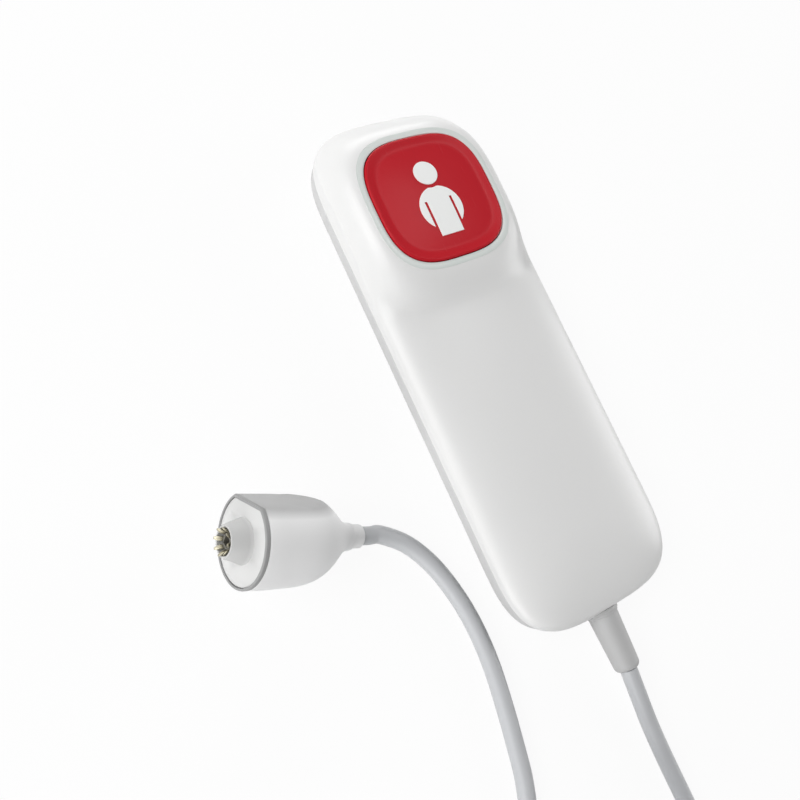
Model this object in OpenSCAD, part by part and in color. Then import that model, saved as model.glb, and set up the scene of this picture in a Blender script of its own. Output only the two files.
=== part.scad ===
// Nurse call handset with its cord and plug.
// The handset lies on its back at z = 0, with the call button at +Y and the cord leaving at -Y.

/* [Handset body] */
// Width across the grip
body_w = 42; // [40:0.5:46]
// Length from the head end to the tail end, without the strain relief
body_l = 119; // [114:1:130]
// Squareness of the rounded ends in plan
end_power = 3.7; // [2.8:0.1:4.5]
// Wall of both shells
wall = 2; // [1.6:0.1:2.4]
// Height of the front shell's lower edge above the back
seam_z = 6.5; // [5.5:0.1:7.5]
// Gap between the shells, filled by the case seal
seam_gap = 0.4; // [0.3:0.1:0.6]
// Height of the upright edge of the front shell
edge_h = 1.9; // [1:0.1:2.6]
// Rise of the crowned grip above the front shell's lower edge
crown = 6.7; // [6:0.1:8]
// Height of the raised head above the back
head_z = 16.2; // [15.8:0.1:18]
// Distance from the button's centre to the head end
button_to_end = 23.7; // [22.5:0.1:26]
// Width of the soft step from the head down to the grip
step_w = 8.5; // [7:0.5:11]
// Rounding of the back edge
back_r = 3.6; // [2.6:0.1:4.2]

/* [Call button] */
// Width of the button
button_w = 29; // [27:0.5:30]
// Squareness of the button and its ring
button_power = 3.1; // [2.6:0.1:4]
// Width of the light ring round the button
ring_w = 1.5; // [1.2:0.1:2]
// Running gap between the button and the ring
button_gap = 0.3; // [0.3:0.05:0.4]
// Height of the button's rim above the head
button_proud = 0.5; // [0.3:0.1:1.2]
// Depth of the dished middle below the rim
dish = 0.35; // [0.2:0.05:0.6]
// Width of the bevelled border
border_w = 2.2; // [1.6:0.1:3]
// Travel of the button
travel = 1; // [0.6:0.1:1.2]
// Radius of the figure's head
figure_r = 2.8; // [2.4:0.1:3]
// Thickness of the figure inlay
inlay_t = 0.2; // [0.15:0.05:0.3]

/* [Electronics] */
// Width of the circuit board
board_w = 30; // [29:0.5:31]
// Thickness of the circuit board
board_t = 1.6; // [1:0.2:1.6]
// Height of the board's standoffs above the inner floor
standoff_h = 2.4; // [2:0.1:2.6]
// Length of the board from the button's centre towards the cord
board_back = 38; // [36:0.5:39]
// Length of the board from the button's centre towards the head end
board_front = 17.4; // [16.6:0.1:17.6]
// Side of the square switch body
switch_w = 12; // [10:0.5:12]
// Height of the switch body
switch_h = 3.2; // [3:0.1:3.6]
// Radius of the switch plunger
plunger_r = 3.2; // [2.6:0.1:3.6]
// Height of the wire header
header_h = 4; // [3.4:0.1:4.2]

/* [Cord] */
// Diameter of the cord
cord_d = 3.8; // [3.4:0.1:3.9]
// Length of the strain relief outside the handset
relief_l = 14; // [12:0.5:14.5]
// Radius of the strain relief where it passes the wall
relief_r = 2.7; // [2.5:0.05:2.8]
// Radius of the four leads inside
lead_r = 0.6; // [0.4:0.05:0.7]
// Whole loops in the stored coil
coil_loops = 13; // [11:1:14]
// Coil diameter at the middle of its turns
coil_mean_d = 42.6; // [41:0.2:44]
// Clear gap between neighbouring turns
turn_gap = 0.5; // [0.45:0.05:0.8]
// Width of a coil tie
tie_w = 8; // [6:0.5:10]
// Thickness of a coil tie
tie_t = 1; // [0.8:0.1:1.2]

/* [Plug] */
// Largest radius of the bell
bell_r = 8.9; // [8.5:0.1:9.5]
// Length of the bell behind its rim
bell_l = 22.7; // [21:0.1:24]
// Radius of the bell's neck
neck_r = 2.8; // [2.6:0.1:3.2]
// Thickness of the rim
rim_t = 0.8; // [0.6:0.1:1.2]
// Width of the rim
rim_w = 0.5; // [0.4:0.05:0.7]
// Depth of the face below the rim's front
face_drop = 0.25; // [0.2:0.05:0.4]
// Distance of the D flat from the plug's axis
flat_r = 7.3; // [7:0.1:7.8]
// Length of the collar behind the bell
collar_l = 3.2; // [2.5:0.1:4]
// Radius of the nose where it leaves the face
nose_r = 4.3; // [4.1:0.1:4.7]
// Radius of the nose at its tip
tip_r = 3; // [3:0.1:3.4]
// Height of the nose above the face
nose_h = 3.6; // [2.8:0.1:4.8]
// Height of the contact fingers above the nose
finger_up = 0.6; // [0.4:0.1:0.8]
// Radius of the dark core in the nose
core_r = 1.5; // [1.3:0.05:1.6]

/* [Hidden] */
$fn = 48;

// Named clearances
fit = 0.1;
bore_fit = 0.05;
soft_gap = 0.3;

// Plan of the body: two squircle ends on straight sides
half_w = body_w / 2;
side_y = body_l / 2 - half_w;
end_n = 26;
side_n = 14;
ring_n = 2 * (end_n + side_n);
crown_power = 2.15;
rim_z = seam_z - seam_gap;
rear_inset = 0.3;
floor_edge = 1;
seal_in = 0.7;
seal_w = 0.8;

// Head and button levels
head_y = body_l / 2 - button_to_end;
button_r = button_w / 2;
ring_out = button_r + ring_w;
ring_in = button_r + button_gap;
flange_share = 0.53;
flange_w = (half_w - wall - ring_out) * flange_share;
flange_t = 1;
flange_drop = 0.5;
flange_top = head_z - wall - flange_drop;
ring_bottom = flange_top - flange_t;
cap_lip_top = ring_bottom - soft_gap;
cap_lip_t = 1;
cap_lip_w = 1.1;
cap_top = head_z + button_proud;
cap_wall = 1.5;
cap_ceiling = cap_top - dish - cap_wall;
squircle_n = 64;

// Board levels
board_z = wall + standoff_h;
board_top = board_z + board_t;
board_y0 = head_y - board_back;
board_y1 = head_y + board_front;
standoff_r = 2.4;
pilot_r = 0.95;
pilot_sink = 0.6;
screw_sink = 0.4;
screw_r = 0.9;
screw_head_r = 1.8;
screw_head_h = 1.1;
screw_edge = 2.6;
screw_back = 11;
screw_room = 0.2;
plunger_up = 0.6;
plunger_top = board_top + switch_h + plunger_up;
plunger_l = 1.9;
post_r = 2.6;

// Return dome
dome_room = 3.9;
dome_foot_r = switch_w * sqrt(2) / 2 + dome_room;
dome_foot_w = 2;
dome_foot_t = 0.8;
dome_top_r = 6.4;
dome_top_w = 2;
dome_t = 0.9;

// Board screws, the front pair just clear of the dome's foot
dome_clear = 0.6;
board_screw_x = board_w / 2 - screw_edge;
screw_reach = dome_foot_r + screw_head_r + dome_clear;
screw_front = sqrt(max(screw_reach * screw_reach - board_screw_x * board_screw_x, 0));
board_screw_y = [head_y + screw_front, board_y0 + screw_back];

// Ring lamps near the board's edge and past the front screws, under the corners of the ring's flange
lamp_w = 2;
lamp_edge = 0.6;
lamp_off = board_w / 2 - lamp_edge - lamp_w / 2;
lamp_y = max(lamp_off, screw_front + screw_head_r + lamp_edge + lamp_w / 2);
lamp_h = 1;

// Case screws from the back into the front shell
case_screw_in = 8.5;
case_screw_gap = 5;
case_screw_pitch = 29;
case_screw_x = half_w - case_screw_in;
case_screw_y = [board_y0 - case_screw_gap, board_y0 - case_screw_gap - case_screw_pitch];
case_boss_r = 3;
front_boss_r = 2.7;
boss_roof = 1.4;
case_screw_r = 1.1;
case_pilot_r = 1.15;
case_head_r = 2.2;
case_pocket_r = 2.5;
case_head_h = 1.4;
case_head_z = 0.6;

// Cord inside the tail
cord_r = cord_d / 2;
relief_z = wall + cord_r + soft_gap;
tail_y = -body_l / 2;
relief_end_y = tail_y - relief_l;
relief_plate_w = 8;
relief_plate_t = 1.6;
end_r = cord_r + 1;
flare_r = relief_r + 1.1;
flare_l = 1.1;
root_y = 1.7;
root_r = relief_r + 0.65;
clamp_in = 10;
clamp_arm = 3.6;
clamp_bite = 0.4;
clamp_roof = 1.5;
clamp_y = tail_y + clamp_in;
clamp_l = 6;
clamp_screw_x = cord_r + clamp_arm;
clamp_boss_r = 2.2;
clamp_base_z = relief_z - clamp_bite;
clamp_top_z = relief_z + cord_r + clamp_roof;
inner_cord_in = 15.5;
inner_cord_y = tail_y + inner_cord_in;
header_w = 12;
header_d = 6;
header_edge = 0.5;
header_y = board_y0 + header_edge;
header_bore = 2;
chip_room = 2;
resistor_room = 9;
resistor_step = 4.5;
lead_step = 2.4;
lead_seat = 1.5;
lead_run = 3;
lead_tones = ["white", "brown", "green", "gold"];

// Routes of the free cord, from the relief to the coil and from the plug to the coil
coil_y = -129;
coil_start = [0, -118, cord_r];
handset_route = [[0, -80, 3.2], [0, -86, 2.3], [0, -93, cord_r], [0, -101, cord_r], [0, -110, cord_r]];
plug_tail = [-42.7, -23.5];
plug_route = [[-40.35, -24.36, 2.17], [-38, -25.2, cord_r], [-33.6, -29.4, cord_r], [-30.4, -35.4, cord_r],
  [-28.4, -42.6, cord_r], [-27.5, -50, cord_r], [-27.6, -58, cord_r], [-28.6, -66, cord_r],
  [-30, -74, cord_r], [-31.6, -81.4, cord_r], [-34.4, -88.4, cord_r]];
coil_end = [-38, -92, cord_r];
lead_out = [[-61.4, -127.4, 14.6], [-62, -117, 10.8], [-58.6, -107.6, 6.6],
  [-52, -101, 3.2], [-46, -97.4, 2], [-41.4, -95, cord_r]];
coil_end_dir = [0.75, 0.66, 0];

// Coil of four layers, spiralling in and out
layers = 4;
layer_turns = (coil_loops + 160 / 360) / layers;
turn_pitch = cord_d + turn_gap;
coil_out = coil_mean_d / 2 + layer_turns * turn_pitch / 2;
coil_in = coil_mean_d / 2 - layer_turns * turn_pitch / 2;
coil_z = cord_r + tie_t + soft_gap;
coil_c = [-coil_out, coil_y];
lead_in = [coil_start, coil_start - [0, cord_d, 0], [0, coil_y + cord_d, mix(cord_r, coil_z, 0.5)]];
loop_rings = 24;
coil_sides = 6;
cord_sides = 8;
tie_angles = [110, -70];
tie_ease = 1.06;
tie_corner = 6;

// Plug pose: the axis points from the cord to the face
plug_heading = 160;
plug_tilt = 22;
plug_l = bell_l + rim_t + collar_l;
face_z = -face_drop;
front_r = bell_r - 0.15;
swell_z = -4;
rim_edge = 0.25;
bell_end = -rim_t - bell_l;
bell_steps = 18;
bell_bulge = 4.66;
bell_taper = 2.55;
cavity_r = 5.6;
stem_l = 4;
stem_z = -rim_t - stem_l;
flat_angle = 246;
collar_r = cord_r + 0.5;
nose_bore_r = tip_r - 0.45;
core_back = -9;
core_drop = 0.6;
contact_w = 0.8;
contact_n = 8;
crimp_l = 4;

// Helper functions
function spow(v, e) = sign(v) * pow(abs(v), e);
function fade(t) = let (u = min(max(t, 0), 1)) u * u * u * (u * (6 * u - 15) + 10);
function unit(v) = v / norm(v);
function mix(a, b, t) = a + (b - a) * t;
function lift(ring, z) = [for (p = ring) [p[0], p[1], z]];

// Squircle of half width h, with n points
function squircle(h, power, n, y = 0) =
  [for (i = [0:n - 1]) let (a = 360 * i / n)
    [h * spow(cos(a), 2 / power), y + h * spow(sin(a), 2 / power)]];

// One end of the body outline, from the right or the left side round the end
function end_arc(w, turn) =
  [for (k = [0:end_n - 1]) let (a = 180 * k / (end_n - 1) + turn)
    [w * spow(cos(a), 2 / end_power), spow(sin(a), 2 / end_power) * w + (turn == 0 ? side_y : -side_y)]];

// Body outline moved in by an inset, anticlockwise from the right shoulder
function outline(inset) = let (w = half_w - inset, dy = 2 * side_y / (side_n + 1))
  concat(end_arc(w, 0), [for (j = [1:side_n]) [-w, side_y - j * dy]],
    end_arc(w, 180), [for (j = [1:side_n]) [w, -side_y + j * dy]]);

// Squircle with the outline's point count, its points facing the outline's
function facing_squircle(h) =
  [for (i = [0:ring_n - 1]) let (a = 90 + 360 * (i - (end_n - 1) / 2) / ring_n)
    [h * spow(cos(a), 2 / button_power), head_y + h * spow(sin(a), 2 / button_power)]];

// Height of the front surface, or of a surface that far inside it
function front_z(p, inset) =
  let (past = max(abs(p[1]) - side_y, 0),
    rho = min(pow(pow(abs(p[0]), end_power) + pow(past, end_power), 1 / end_power) / (half_w - inset), 1),
    grip = seam_z + edge_h + (crown - edge_h - inset) * sqrt(1 - pow(rho, crown_power)),
    r = pow(pow(abs(p[0]), button_power) + pow(abs(p[1] - head_y), button_power), 1 / button_power),
    s = 1 - fade((r - ring_out) / step_w))
  grip * (1 - s) + (head_z - inset) * s;

// Ring of the front surface between the outline (u = 0) and the button's window (u = 1)
function front_ring(inset, window, u) = let (o = outline(inset))
  [for (i = [0:ring_n - 1]) let (p = mix(o[i], window[i], u)) [p[0], p[1], front_z(p, inset)]];

// Share of the way with its steps gathered at both ends
function both_ends(v) = (1 - cos(180 * v)) / 2;

// Catmull-Rom curve through hand-set points
function curve_at(a, b, c, d, t) =
  (2 * b + (c - a) * t + (2 * a - 5 * b + 4 * c - d) * t * t + (3 * b - a - 3 * c + d) * t * t * t) / 2;
function curve(pts, n) = let (last = len(pts) - 1)
  concat([for (i = [0:last - 1]) for (k = [0:n - 1])
    curve_at(pts[max(i - 1, 0)], pts[i], pts[i + 1], pts[min(i + 2, last)], k / n)], [pts[last]]);

// Tube rings along a path, square to given headings at its two ends
function tube_rings(path, r, sides, from, to) = let (last = len(path) - 1)
  [for (i = [0:last])
    let (t = i == 0 ? unit(from) : i == last ? unit(to) : unit(path[i + 1] - path[i - 1]),
      up = unit([0, 0, 1] - t * t[2]), side = cross(up, t))
    [for (k = [0:sides - 1]) let (a = 360 * (k + 0.5) / sides)
      path[i] + r * (cos(a) * side + sin(a) * up)]];

// Coil centre line, clockwise from the right, climbing a layer round each reversal
function coil_point(t) =
  let (p = min(t / layer_turns, layers - 0.0001), k = floor(p), f = k % 2 == 0 ? p - k : 1 - (p - k),
    r = coil_out - layer_turns * turn_pitch * f, a = -360 * t,
    climb = [for (j = [1:layers - 1]) fade((t - j * layer_turns + 0.25) / 0.5)])
  [coil_c[0] + r * cos(a), coil_c[1] + r * sin(a), coil_z + turn_pitch * (climb * [1, 1, 1])];
coil_turns = layers * layer_turns;
coil_steps = floor(coil_turns * loop_rings);
loops = [for (i = [0:coil_steps]) coil_point(coil_turns * i / coil_steps)];
coil_tail = curve(concat([loops[coil_steps - 1], loops[coil_steps]], lead_out, [coil_end]), 3);
coil_path = concat(lead_in, loops, [for (i = [4:len(coil_tail) - 1]) coil_tail[i]]);

// Least gap between parts of the coil that lie more than a third of a loop apart along it
function coil_gap() = let (n = len(coil_path))
  min([for (i = [0:n - 9]) for (j = [i + 8:n - 1]) norm(coil_path[i] - coil_path[j])]) - cord_d;
function path_length(p) = [for (i = [1:len(p) - 1]) norm(p[i] - p[i - 1])] * [for (i = [1:len(p) - 1]) 1];

// Profile of the bell from its front edge to its neck
function bell_profile() = concat([[front_r, -rim_t]],
  [for (i = [0:bell_steps]) let (t = i / bell_steps)
    [neck_r + (bell_r - neck_r) * pow(1 - pow(t, bell_bulge), bell_taper), mix(swell_z, bell_end, t)]]);

// Height of the collar's end above the ground when the bell lies on its shoulder
plug_tail_z = max([for (p = bell_profile()) p[0] * cos(plug_tilt) - (p[1] + plug_l) * sin(plug_tilt)]);
plug_axis = [cos(plug_tilt) * cos(plug_heading), cos(plug_tilt) * sin(plug_heading), sin(plug_tilt)];
plug_exit = [plug_tail[0], plug_tail[1], plug_tail_z];
handset_path = concat([[0, relief_end_y, relief_z]], handset_route, [coil_start]);
plug_path = concat([plug_exit], plug_route, [coil_end]);

// Helper modules
// Closed skin over rings of equal point count, joined into a loop or capped at both ends by fans
module ring_stack(rings, looped = false, fan_point = 0) {
  n = len(rings[0]);
  m = len(rings);
  skin = [for (k = [0:looped ? m - 1 : m - 2]) for (i = [0:n - 1])
    let (a = k * n + i, b = k * n + (i + 1) % n, c = (k + 1) % m * n + i, d = (k + 1) % m * n + (i + 1) % n)
    each [[a, c, d], [a, d, b]]];
  top = (m - 1) * n;
  caps = looped ? [] : [for (i = [1:n - 2])
    let (a = fan_point, b = (fan_point + i) % n, c = (fan_point + i + 1) % n)
    each [[a, b, c], [top + a, top + c, top + b]]];
  polyhedron([for (r = rings) each r], concat(skin, caps));
}

module tube(path, r, sides, from, to) {
  ring_stack(tube_rings(path, r, sides, from, to));
}

module squircle_plate(h, power, z0, z1) {
  translate([0, head_y, z0]) linear_extrude(z1 - z0) polygon(squircle(h, power, squircle_n));
}

module rod(r, z0, z1) {
  translate([0, 0, z0]) cylinder(r = r, h = z1 - z0);
}

module at_pairs(x, ys) {
  for (sx = [-1, 1]) for (y = ys) translate([sx * x, y, 0]) children();
}

// Puts a piece with its axis on Z onto the cord axis in the tail, pointing out of the handset
module on_cord_axis(y) {
  translate([0, y, relief_z]) rotate([90, 0, 0]) children();
}

// Puts a piece drawn with the face at z = 0 where the plug lies
module at_plug() {
  translate(plug_exit) rotate([0, 90 - plug_tilt, plug_heading]) translate([0, 0, plug_l]) children();
}

// Everything of the plug beyond its flat, or beyond a flat that far inside it
module d_flat(inset = 0) {
  rotate(flat_angle) translate([flat_r - inset, -bell_r, -bell_l]) cube([bell_r, 2 * bell_r, 2 * bell_l]);
}

// Round disc with the plug's flat, moved in by an inset
module d_disc(inset, z0, z1) {
  difference() {
    rod(front_r - inset, z0, z1);
    d_flat(inset);
  }
}

// Opening for the strain relief, shared by both shells and the seal
module cord_opening() {
  on_cord_axis(tail_y + wall + 2) rod(relief_r + bore_fit, 0, wall + 4);
}

// Handset shells
module front_shell() {
  window = facing_squircle(ring_out + fit);
  outer_steps = 18;
  inner_steps = 10;
  color("white") difference() {
    union() {
      ring_stack(concat([lift(outline(0), seam_z)],
        [for (k = [0:outer_steps]) front_ring(0, window, both_ends(k / outer_steps))],
        [for (k = [0:inner_steps]) front_ring(wall, window, both_ends(1 - k / inner_steps))],
        [lift(outline(wall), seam_z)]), true);
      at_pairs(case_screw_x, case_screw_y) rod(front_boss_r, seam_z - seam_gap + fit, case_boss_top());
    }
    at_pairs(case_screw_x, case_screw_y) rod(case_pilot_r, 0, case_screw_tip() + soft_gap);
    cord_opening();
  }
}

function case_boss_top() = min([for (y = case_screw_y) front_z([case_screw_x, y], wall / 2)]);
function case_screw_tip() = case_boss_top() - boss_roof;

module rear_shell() {
  color("whitesmoke") difference() {
    union() {
      ring_stack(concat(
        [for (a = [0:15:90]) lift(outline(rear_inset + back_r * (1 - sin(a))), back_r * (1 - cos(a)))],
        [lift(outline(rear_inset), rim_z), lift(outline(wall), rim_z),
          lift(outline(wall), wall + floor_edge), lift(outline(wall + floor_edge), wall)]),
        fan_point = end_n / 2);
      at_pairs(board_screw_x, board_screw_y) rod(standoff_r, wall - fit, board_z);
      at_pairs(case_screw_x, case_screw_y) rod(case_boss_r, wall - fit, rim_z);
      at_pairs(clamp_screw_x, [clamp_y]) rod(clamp_boss_r, wall - fit, clamp_base_z);
    }
    at_pairs(board_screw_x, board_screw_y) rod(pilot_r, wall - pilot_sink, board_z + 1);
    at_pairs(clamp_screw_x, [clamp_y]) rod(pilot_r, wall - pilot_sink, clamp_base_z + 1);
    at_pairs(case_screw_x, case_screw_y) rod(case_pilot_r + fit, -1, rim_z + 1);
    at_pairs(case_screw_x, case_screw_y) rod(case_pocket_r, -1, case_head_z + case_head_h);
    cord_opening();
  }
}

module case_seal() {
  color("dimgray") difference() {
    ring_stack([lift(outline(seal_in), seam_z), lift(outline(seal_in), rim_z),
      lift(outline(seal_in + seal_w), rim_z), lift(outline(seal_in + seal_w), seam_z)], true);
    cord_opening();
  }
}

// Call button
module light_ring() {
  color("gainsboro") difference() {
    union() {
      squircle_plate(ring_out, button_power, ring_bottom, head_z + fit);
      squircle_plate(ring_out + flange_w, button_power, ring_bottom, flange_top);
    }
    squircle_plate(ring_in, button_power, ring_bottom - 1, head_z + 1);
  }
}

module button_cap() {
  function level(h, z) = lift(squircle(h, button_power, squircle_n, head_y), z);
  lip_r = button_r + cap_lip_w;
  skirt_in = button_r - cap_wall;
  lip_z = cap_lip_top - cap_lip_t;
  color("firebrick") union() {
    ring_stack([level(skirt_in, cap_ceiling), level(skirt_in, lip_z), level(lip_r, lip_z),
      level(lip_r, cap_lip_top), level(button_r, cap_lip_top), level(button_r, head_z),
      level(button_r - 0.2, cap_top - 0.15), level(button_r - 0.5, cap_top),
      level(button_r - border_w, cap_top - dish)]);
    translate([0, head_y, 0]) rod(post_r, plunger_top, cap_ceiling + 0.4);
  }
}

module button_symbol() {
  z0 = cap_top - dish;
  torso_w = figure_r;
  arm_r = figure_r * 1.84;
  slit_w = figure_r * 0.235;
  head_up = figure_r * 1.93;
  arm_down = figure_r * 1.11;
  foot_down = figure_r * 3.32;
  color("white") translate([0, head_y, z0]) {
    translate([0, head_up, 0]) cylinder(r = figure_r, h = inlay_t);
    difference() {
      union() {
        translate([0, -arm_down, 0]) cylinder(r = arm_r, h = inlay_t);
        translate([-torso_w, -foot_down, 0]) cube([2 * torso_w, foot_down, inlay_t]);
      }
      for (sx = [-1, 1]) translate([sx * (torso_w + slit_w / 2) - slit_w / 2, -foot_down, -1])
        cube([slit_w, foot_down - arm_down / 3, inlay_t + 2]);
      translate([0, head_up, -1]) cylinder(r = figure_r * 1.31, h = inlay_t + 2);
    }
  }
}

module button_dome() {
  foot_in = dome_foot_r - dome_foot_w;
  top_in = dome_top_r - dome_top_w;
  foot_z = board_top + dome_foot_t;
  top_z = cap_ceiling - dome_foot_t;
  color("lightgray") translate([0, head_y, 0]) rotate_extrude()
    polygon([[foot_in, board_top], [dome_foot_r, board_top], [dome_foot_r, foot_z],
      [foot_in + dome_t, foot_z], [dome_top_r, top_z], [dome_top_r, cap_ceiling],
      [top_in, cap_ceiling], [top_in, top_z], [dome_top_r - dome_t, top_z], [foot_in, foot_z]]);
}

// Electronics
module circuit_board() {
  color("darkgreen") difference() {
    translate([-board_w / 2, board_y0, board_z]) cube([board_w, board_y1 - board_y0, board_t]);
    at_pairs(board_screw_x, board_screw_y) rod(screw_r + screw_room, board_z - 1, board_top + 1);
  }
}

module switch_body() {
  color("black") difference() {
    translate([-switch_w / 2, head_y - switch_w / 2, board_top]) cube([switch_w, switch_w, switch_h]);
    translate([0, head_y, 0]) rod(plunger_r + bore_fit, board_top + 0.4, board_top + switch_h + 1);
  }
}

module switch_plunger() {
  color("ivory") translate([0, head_y, 0]) rod(plunger_r, plunger_top - plunger_l, plunger_top);
}

module lamp(i) {
  sx = i % 2 == 1 ? -1 : 1;
  sy = i > 2 ? -1 : 1;
  color("lightyellow") translate([sx * lamp_off, head_y + sy * lamp_y, board_top]) {
    translate([-lamp_w / 2, -lamp_w / 2, 0]) cube([lamp_w, lamp_w, lamp_h / 2]);
    cylinder(r = lamp_w * 0.4, h = lamp_h);
  }
}

module driver_chip() {
  chip = [5, 4, 1.5];
  color("dimgray") translate([-chip[0] / 2, header_y + header_d + chip_room, board_top]) {
    translate([0, 0, 0.2]) cube(chip);
    for (i = [0:3]) translate([0.4 + i * 1.27, -1, 0]) cube([0.45, chip[1] + 2, 0.3]);
  }
}

module resistor(i) {
  body = [1.6, 0.8, 0.5];
  x = (i - 2.5) * resistor_step - body[0] / 2;
  color("black") translate([x, header_y + header_d + resistor_room, board_top]) cube(body);
}

module wire_header() {
  color("ivory") difference() {
    translate([-header_w / 2, header_y, board_top]) cube([header_w, header_d, header_h]);
    for (i = [1:4]) translate([lead_x(i), header_y - 1, lead_end_z()]) rotate([-90, 0, 0])
      cylinder(r = lead_r + bore_fit, h = header_bore + 1);
  }
}

function lead_x(i) = (i - 2.5) * lead_step;
function lead_end_z() = board_top + header_h / 2;

module lead(i, tone) {
  x0 = (i - 2.5) * 2 * (lead_r + 0.15);
  end_x = lead_x(i);
  y0 = inner_cord_y;
  z0 = relief_z + 0.4;
  pts = [[x0, y0, z0], [x0, y0 + 2, z0], [mix(x0, end_x, 0.4), mix(y0, header_y, 0.35), z0 + 0.4],
    [end_x, mix(y0, header_y, 0.75), z0 + 1.6], [end_x, header_y - lead_run, lead_end_z()],
    [end_x, header_y + lead_seat, lead_end_z()]];
  color(tone) tube(curve(pts, 2), lead_r, 8, [0, 1, 0], [0, 1, 0]);
}

// Fasteners
module pan_screw(r, head_r, head_h, tip_z, seat_z, up) {
  rod(r, min(tip_z, seat_z), max(tip_z, seat_z));
  head_z0 = up ? seat_z : seat_z - head_h;
  difference() {
    rod(head_r, head_z0, head_z0 + head_h);
    for (a = [0, 90]) rotate(a) translate([-head_r * 0.6, -0.25, up ? head_z0 + head_h / 2 : head_z0 - 1])
      cube([head_r * 1.2, 0.5, head_h / 2 + 1]);
  }
}

module board_screws() {
  color("silver") at_pairs(board_screw_x, board_screw_y)
    pan_screw(screw_r, screw_head_r, screw_head_h, wall - screw_sink, board_top, true);
}

module clamp_screws() {
  color("silver") at_pairs(clamp_screw_x, [clamp_y])
    pan_screw(screw_r, screw_head_r, screw_head_h, wall - screw_sink, clamp_top_z, true);
}

module case_screws() {
  color("silver") at_pairs(case_screw_x, case_screw_y)
    pan_screw(case_screw_r, case_head_r, case_head_h, case_screw_tip(), case_head_z + case_head_h, false);
}

// Cord in the tail
module cable_clamp() {
  span = clamp_screw_x + clamp_boss_r + 0.3;
  color("gray") difference() {
    translate([-span, clamp_y - clamp_l / 2, clamp_base_z])
      cube([2 * span, clamp_l, clamp_top_z - clamp_base_z]);
    on_cord_axis(clamp_y + clamp_l) rod(cord_r + bore_fit, 0, 2 * clamp_l);
    translate([-cord_r - bore_fit, clamp_y - clamp_l, clamp_base_z - 1])
      cube([2 * (cord_r + bore_fit), 2 * clamp_l, relief_z - clamp_base_z + 1]);
    at_pairs(clamp_screw_x, [clamp_y]) rod(screw_r + screw_room, 0, clamp_top_z + 1);
  }
}

module strain_relief() {
  plate_y = wall + relief_plate_t + fit;
  z0 = wall + floor_edge + fit;
  z1 = relief_z + relief_r + soft_gap;
  color("lightgray") difference() {
    union() {
      on_cord_axis(tail_y + plate_y) rotate_extrude()
        polygon([[0, 0], [relief_r, 0], [relief_r, plate_y + fit], [flare_r, plate_y + fit],
          [flare_r, plate_y + flare_l], [root_r, plate_y + root_y], [end_r, plate_y + relief_l - 1.2],
          [end_r - 0.25, plate_y + relief_l - 0.4], [end_r - 0.7, plate_y + relief_l],
          [0, plate_y + relief_l]]);
      translate([-relief_plate_w / 2, tail_y + wall + fit, z0])
        cube([relief_plate_w, relief_plate_t, z1 - z0]);
    }
    on_cord_axis(tail_y + plate_y + 1) rod(cord_r + bore_fit, 0, relief_l + plate_y + 2);
  }
}

module inner_cord() {
  color("lightgray") on_cord_axis(inner_cord_y) rod(cord_r, 0, inner_cord_y - relief_end_y);
}

// Free cord
module handset_cord() {
  color("lightgray") tube(handset_path, cord_r, cord_sides, [0, -1, 0], [0, -1, 0]);
}

module plug_cord() {
  color("lightgray") tube(curve(plug_path, 2), cord_r, cord_sides, -plug_axis, -coil_end_dir);
}

module cord_coil() {
  ends = path_length(curve(plug_path, 6)) + path_length(curve(handset_path, 6));
  echo(coil_gap = coil_gap(), coil_length = path_length(coil_path));
  echo(cord_length = path_length(coil_path) + ends);
  color("lightgray") tube(coil_path, cord_r, coil_sides, [0, -1, 0], coil_end_dir);
}

module coil_tie(i) {
  room = cord_r + soft_gap;
  half_r = ((coil_out - coil_in) / 2 + room) * tie_ease;
  half_h = ((layers - 1) * turn_pitch) / 2 + room;
  function band(t) = [for (p = squircle(1, tie_corner, 40)) [p[0] * (half_r + t), p[1] * (half_h + t)]];
  color("dimgray") translate([coil_c[0], coil_c[1], half_h + tie_t]) rotate(tie_angles[i])
    translate([coil_mean_d / 2, tie_w / 2, 0]) rotate([90, 0, 0]) linear_extrude(tie_w) difference() {
      polygon(band(tie_t));
      polygon(band(0));
    }
}

// Plug
module plug_shell() {
  taper_z = bell_end * 0.55;
  throat_z = bell_end * 0.85;
  throat_r = cord_r + 0.6;
  color("white") at_plug() difference() {
    rotate_extrude() polygon(concat([[0, -rim_t]], bell_profile(), [[0, bell_end]]));
    rod(cavity_r, taper_z, 1);
    translate([0, 0, throat_z]) cylinder(r1 = throat_r, r2 = cavity_r, h = taper_z - throat_z);
    rod(cord_r + bore_fit, bell_end - 1, taper_z);
    d_flat();
  }
}

module plug_rim() {
  color("darkgray") at_plug() difference() {
    rotate_extrude() polygon([[0, -rim_t], [front_r, -rim_t], [front_r, -rim_edge], [front_r - rim_edge, 0],
      [0, 0]]);
    d_flat();
    d_disc(rim_w, -rim_t - 1, 1);
  }
}

module plug_insert() {
  color("white") at_plug() difference() {
    union() {
      d_disc(rim_w + fit, -rim_t, face_z);
      translate([0, 0, face_z]) cylinder(r1 = nose_r, r2 = tip_r, h = nose_h);
      rod(cavity_r - fit, stem_z, -rim_t);
    }
    rod(nose_bore_r, stem_z - 1, face_z + nose_h + 1);
  }
}

module nose_core() {
  color("black") at_plug() {
    rod(core_r, core_back, face_z + nose_h - core_drop);
    rod(nose_r, core_back, stem_z);
  }
}

module contact(i) {
  thick = nose_bore_r - core_r - 2 * fit;
  color("darkkhaki") at_plug() rotate(360 * (i - 0.5) / contact_n)
    translate([core_r + fit, -contact_w / 2, stem_z])
      cube([thick, contact_w, face_z + nose_h + finger_up - stem_z]);
}

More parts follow.
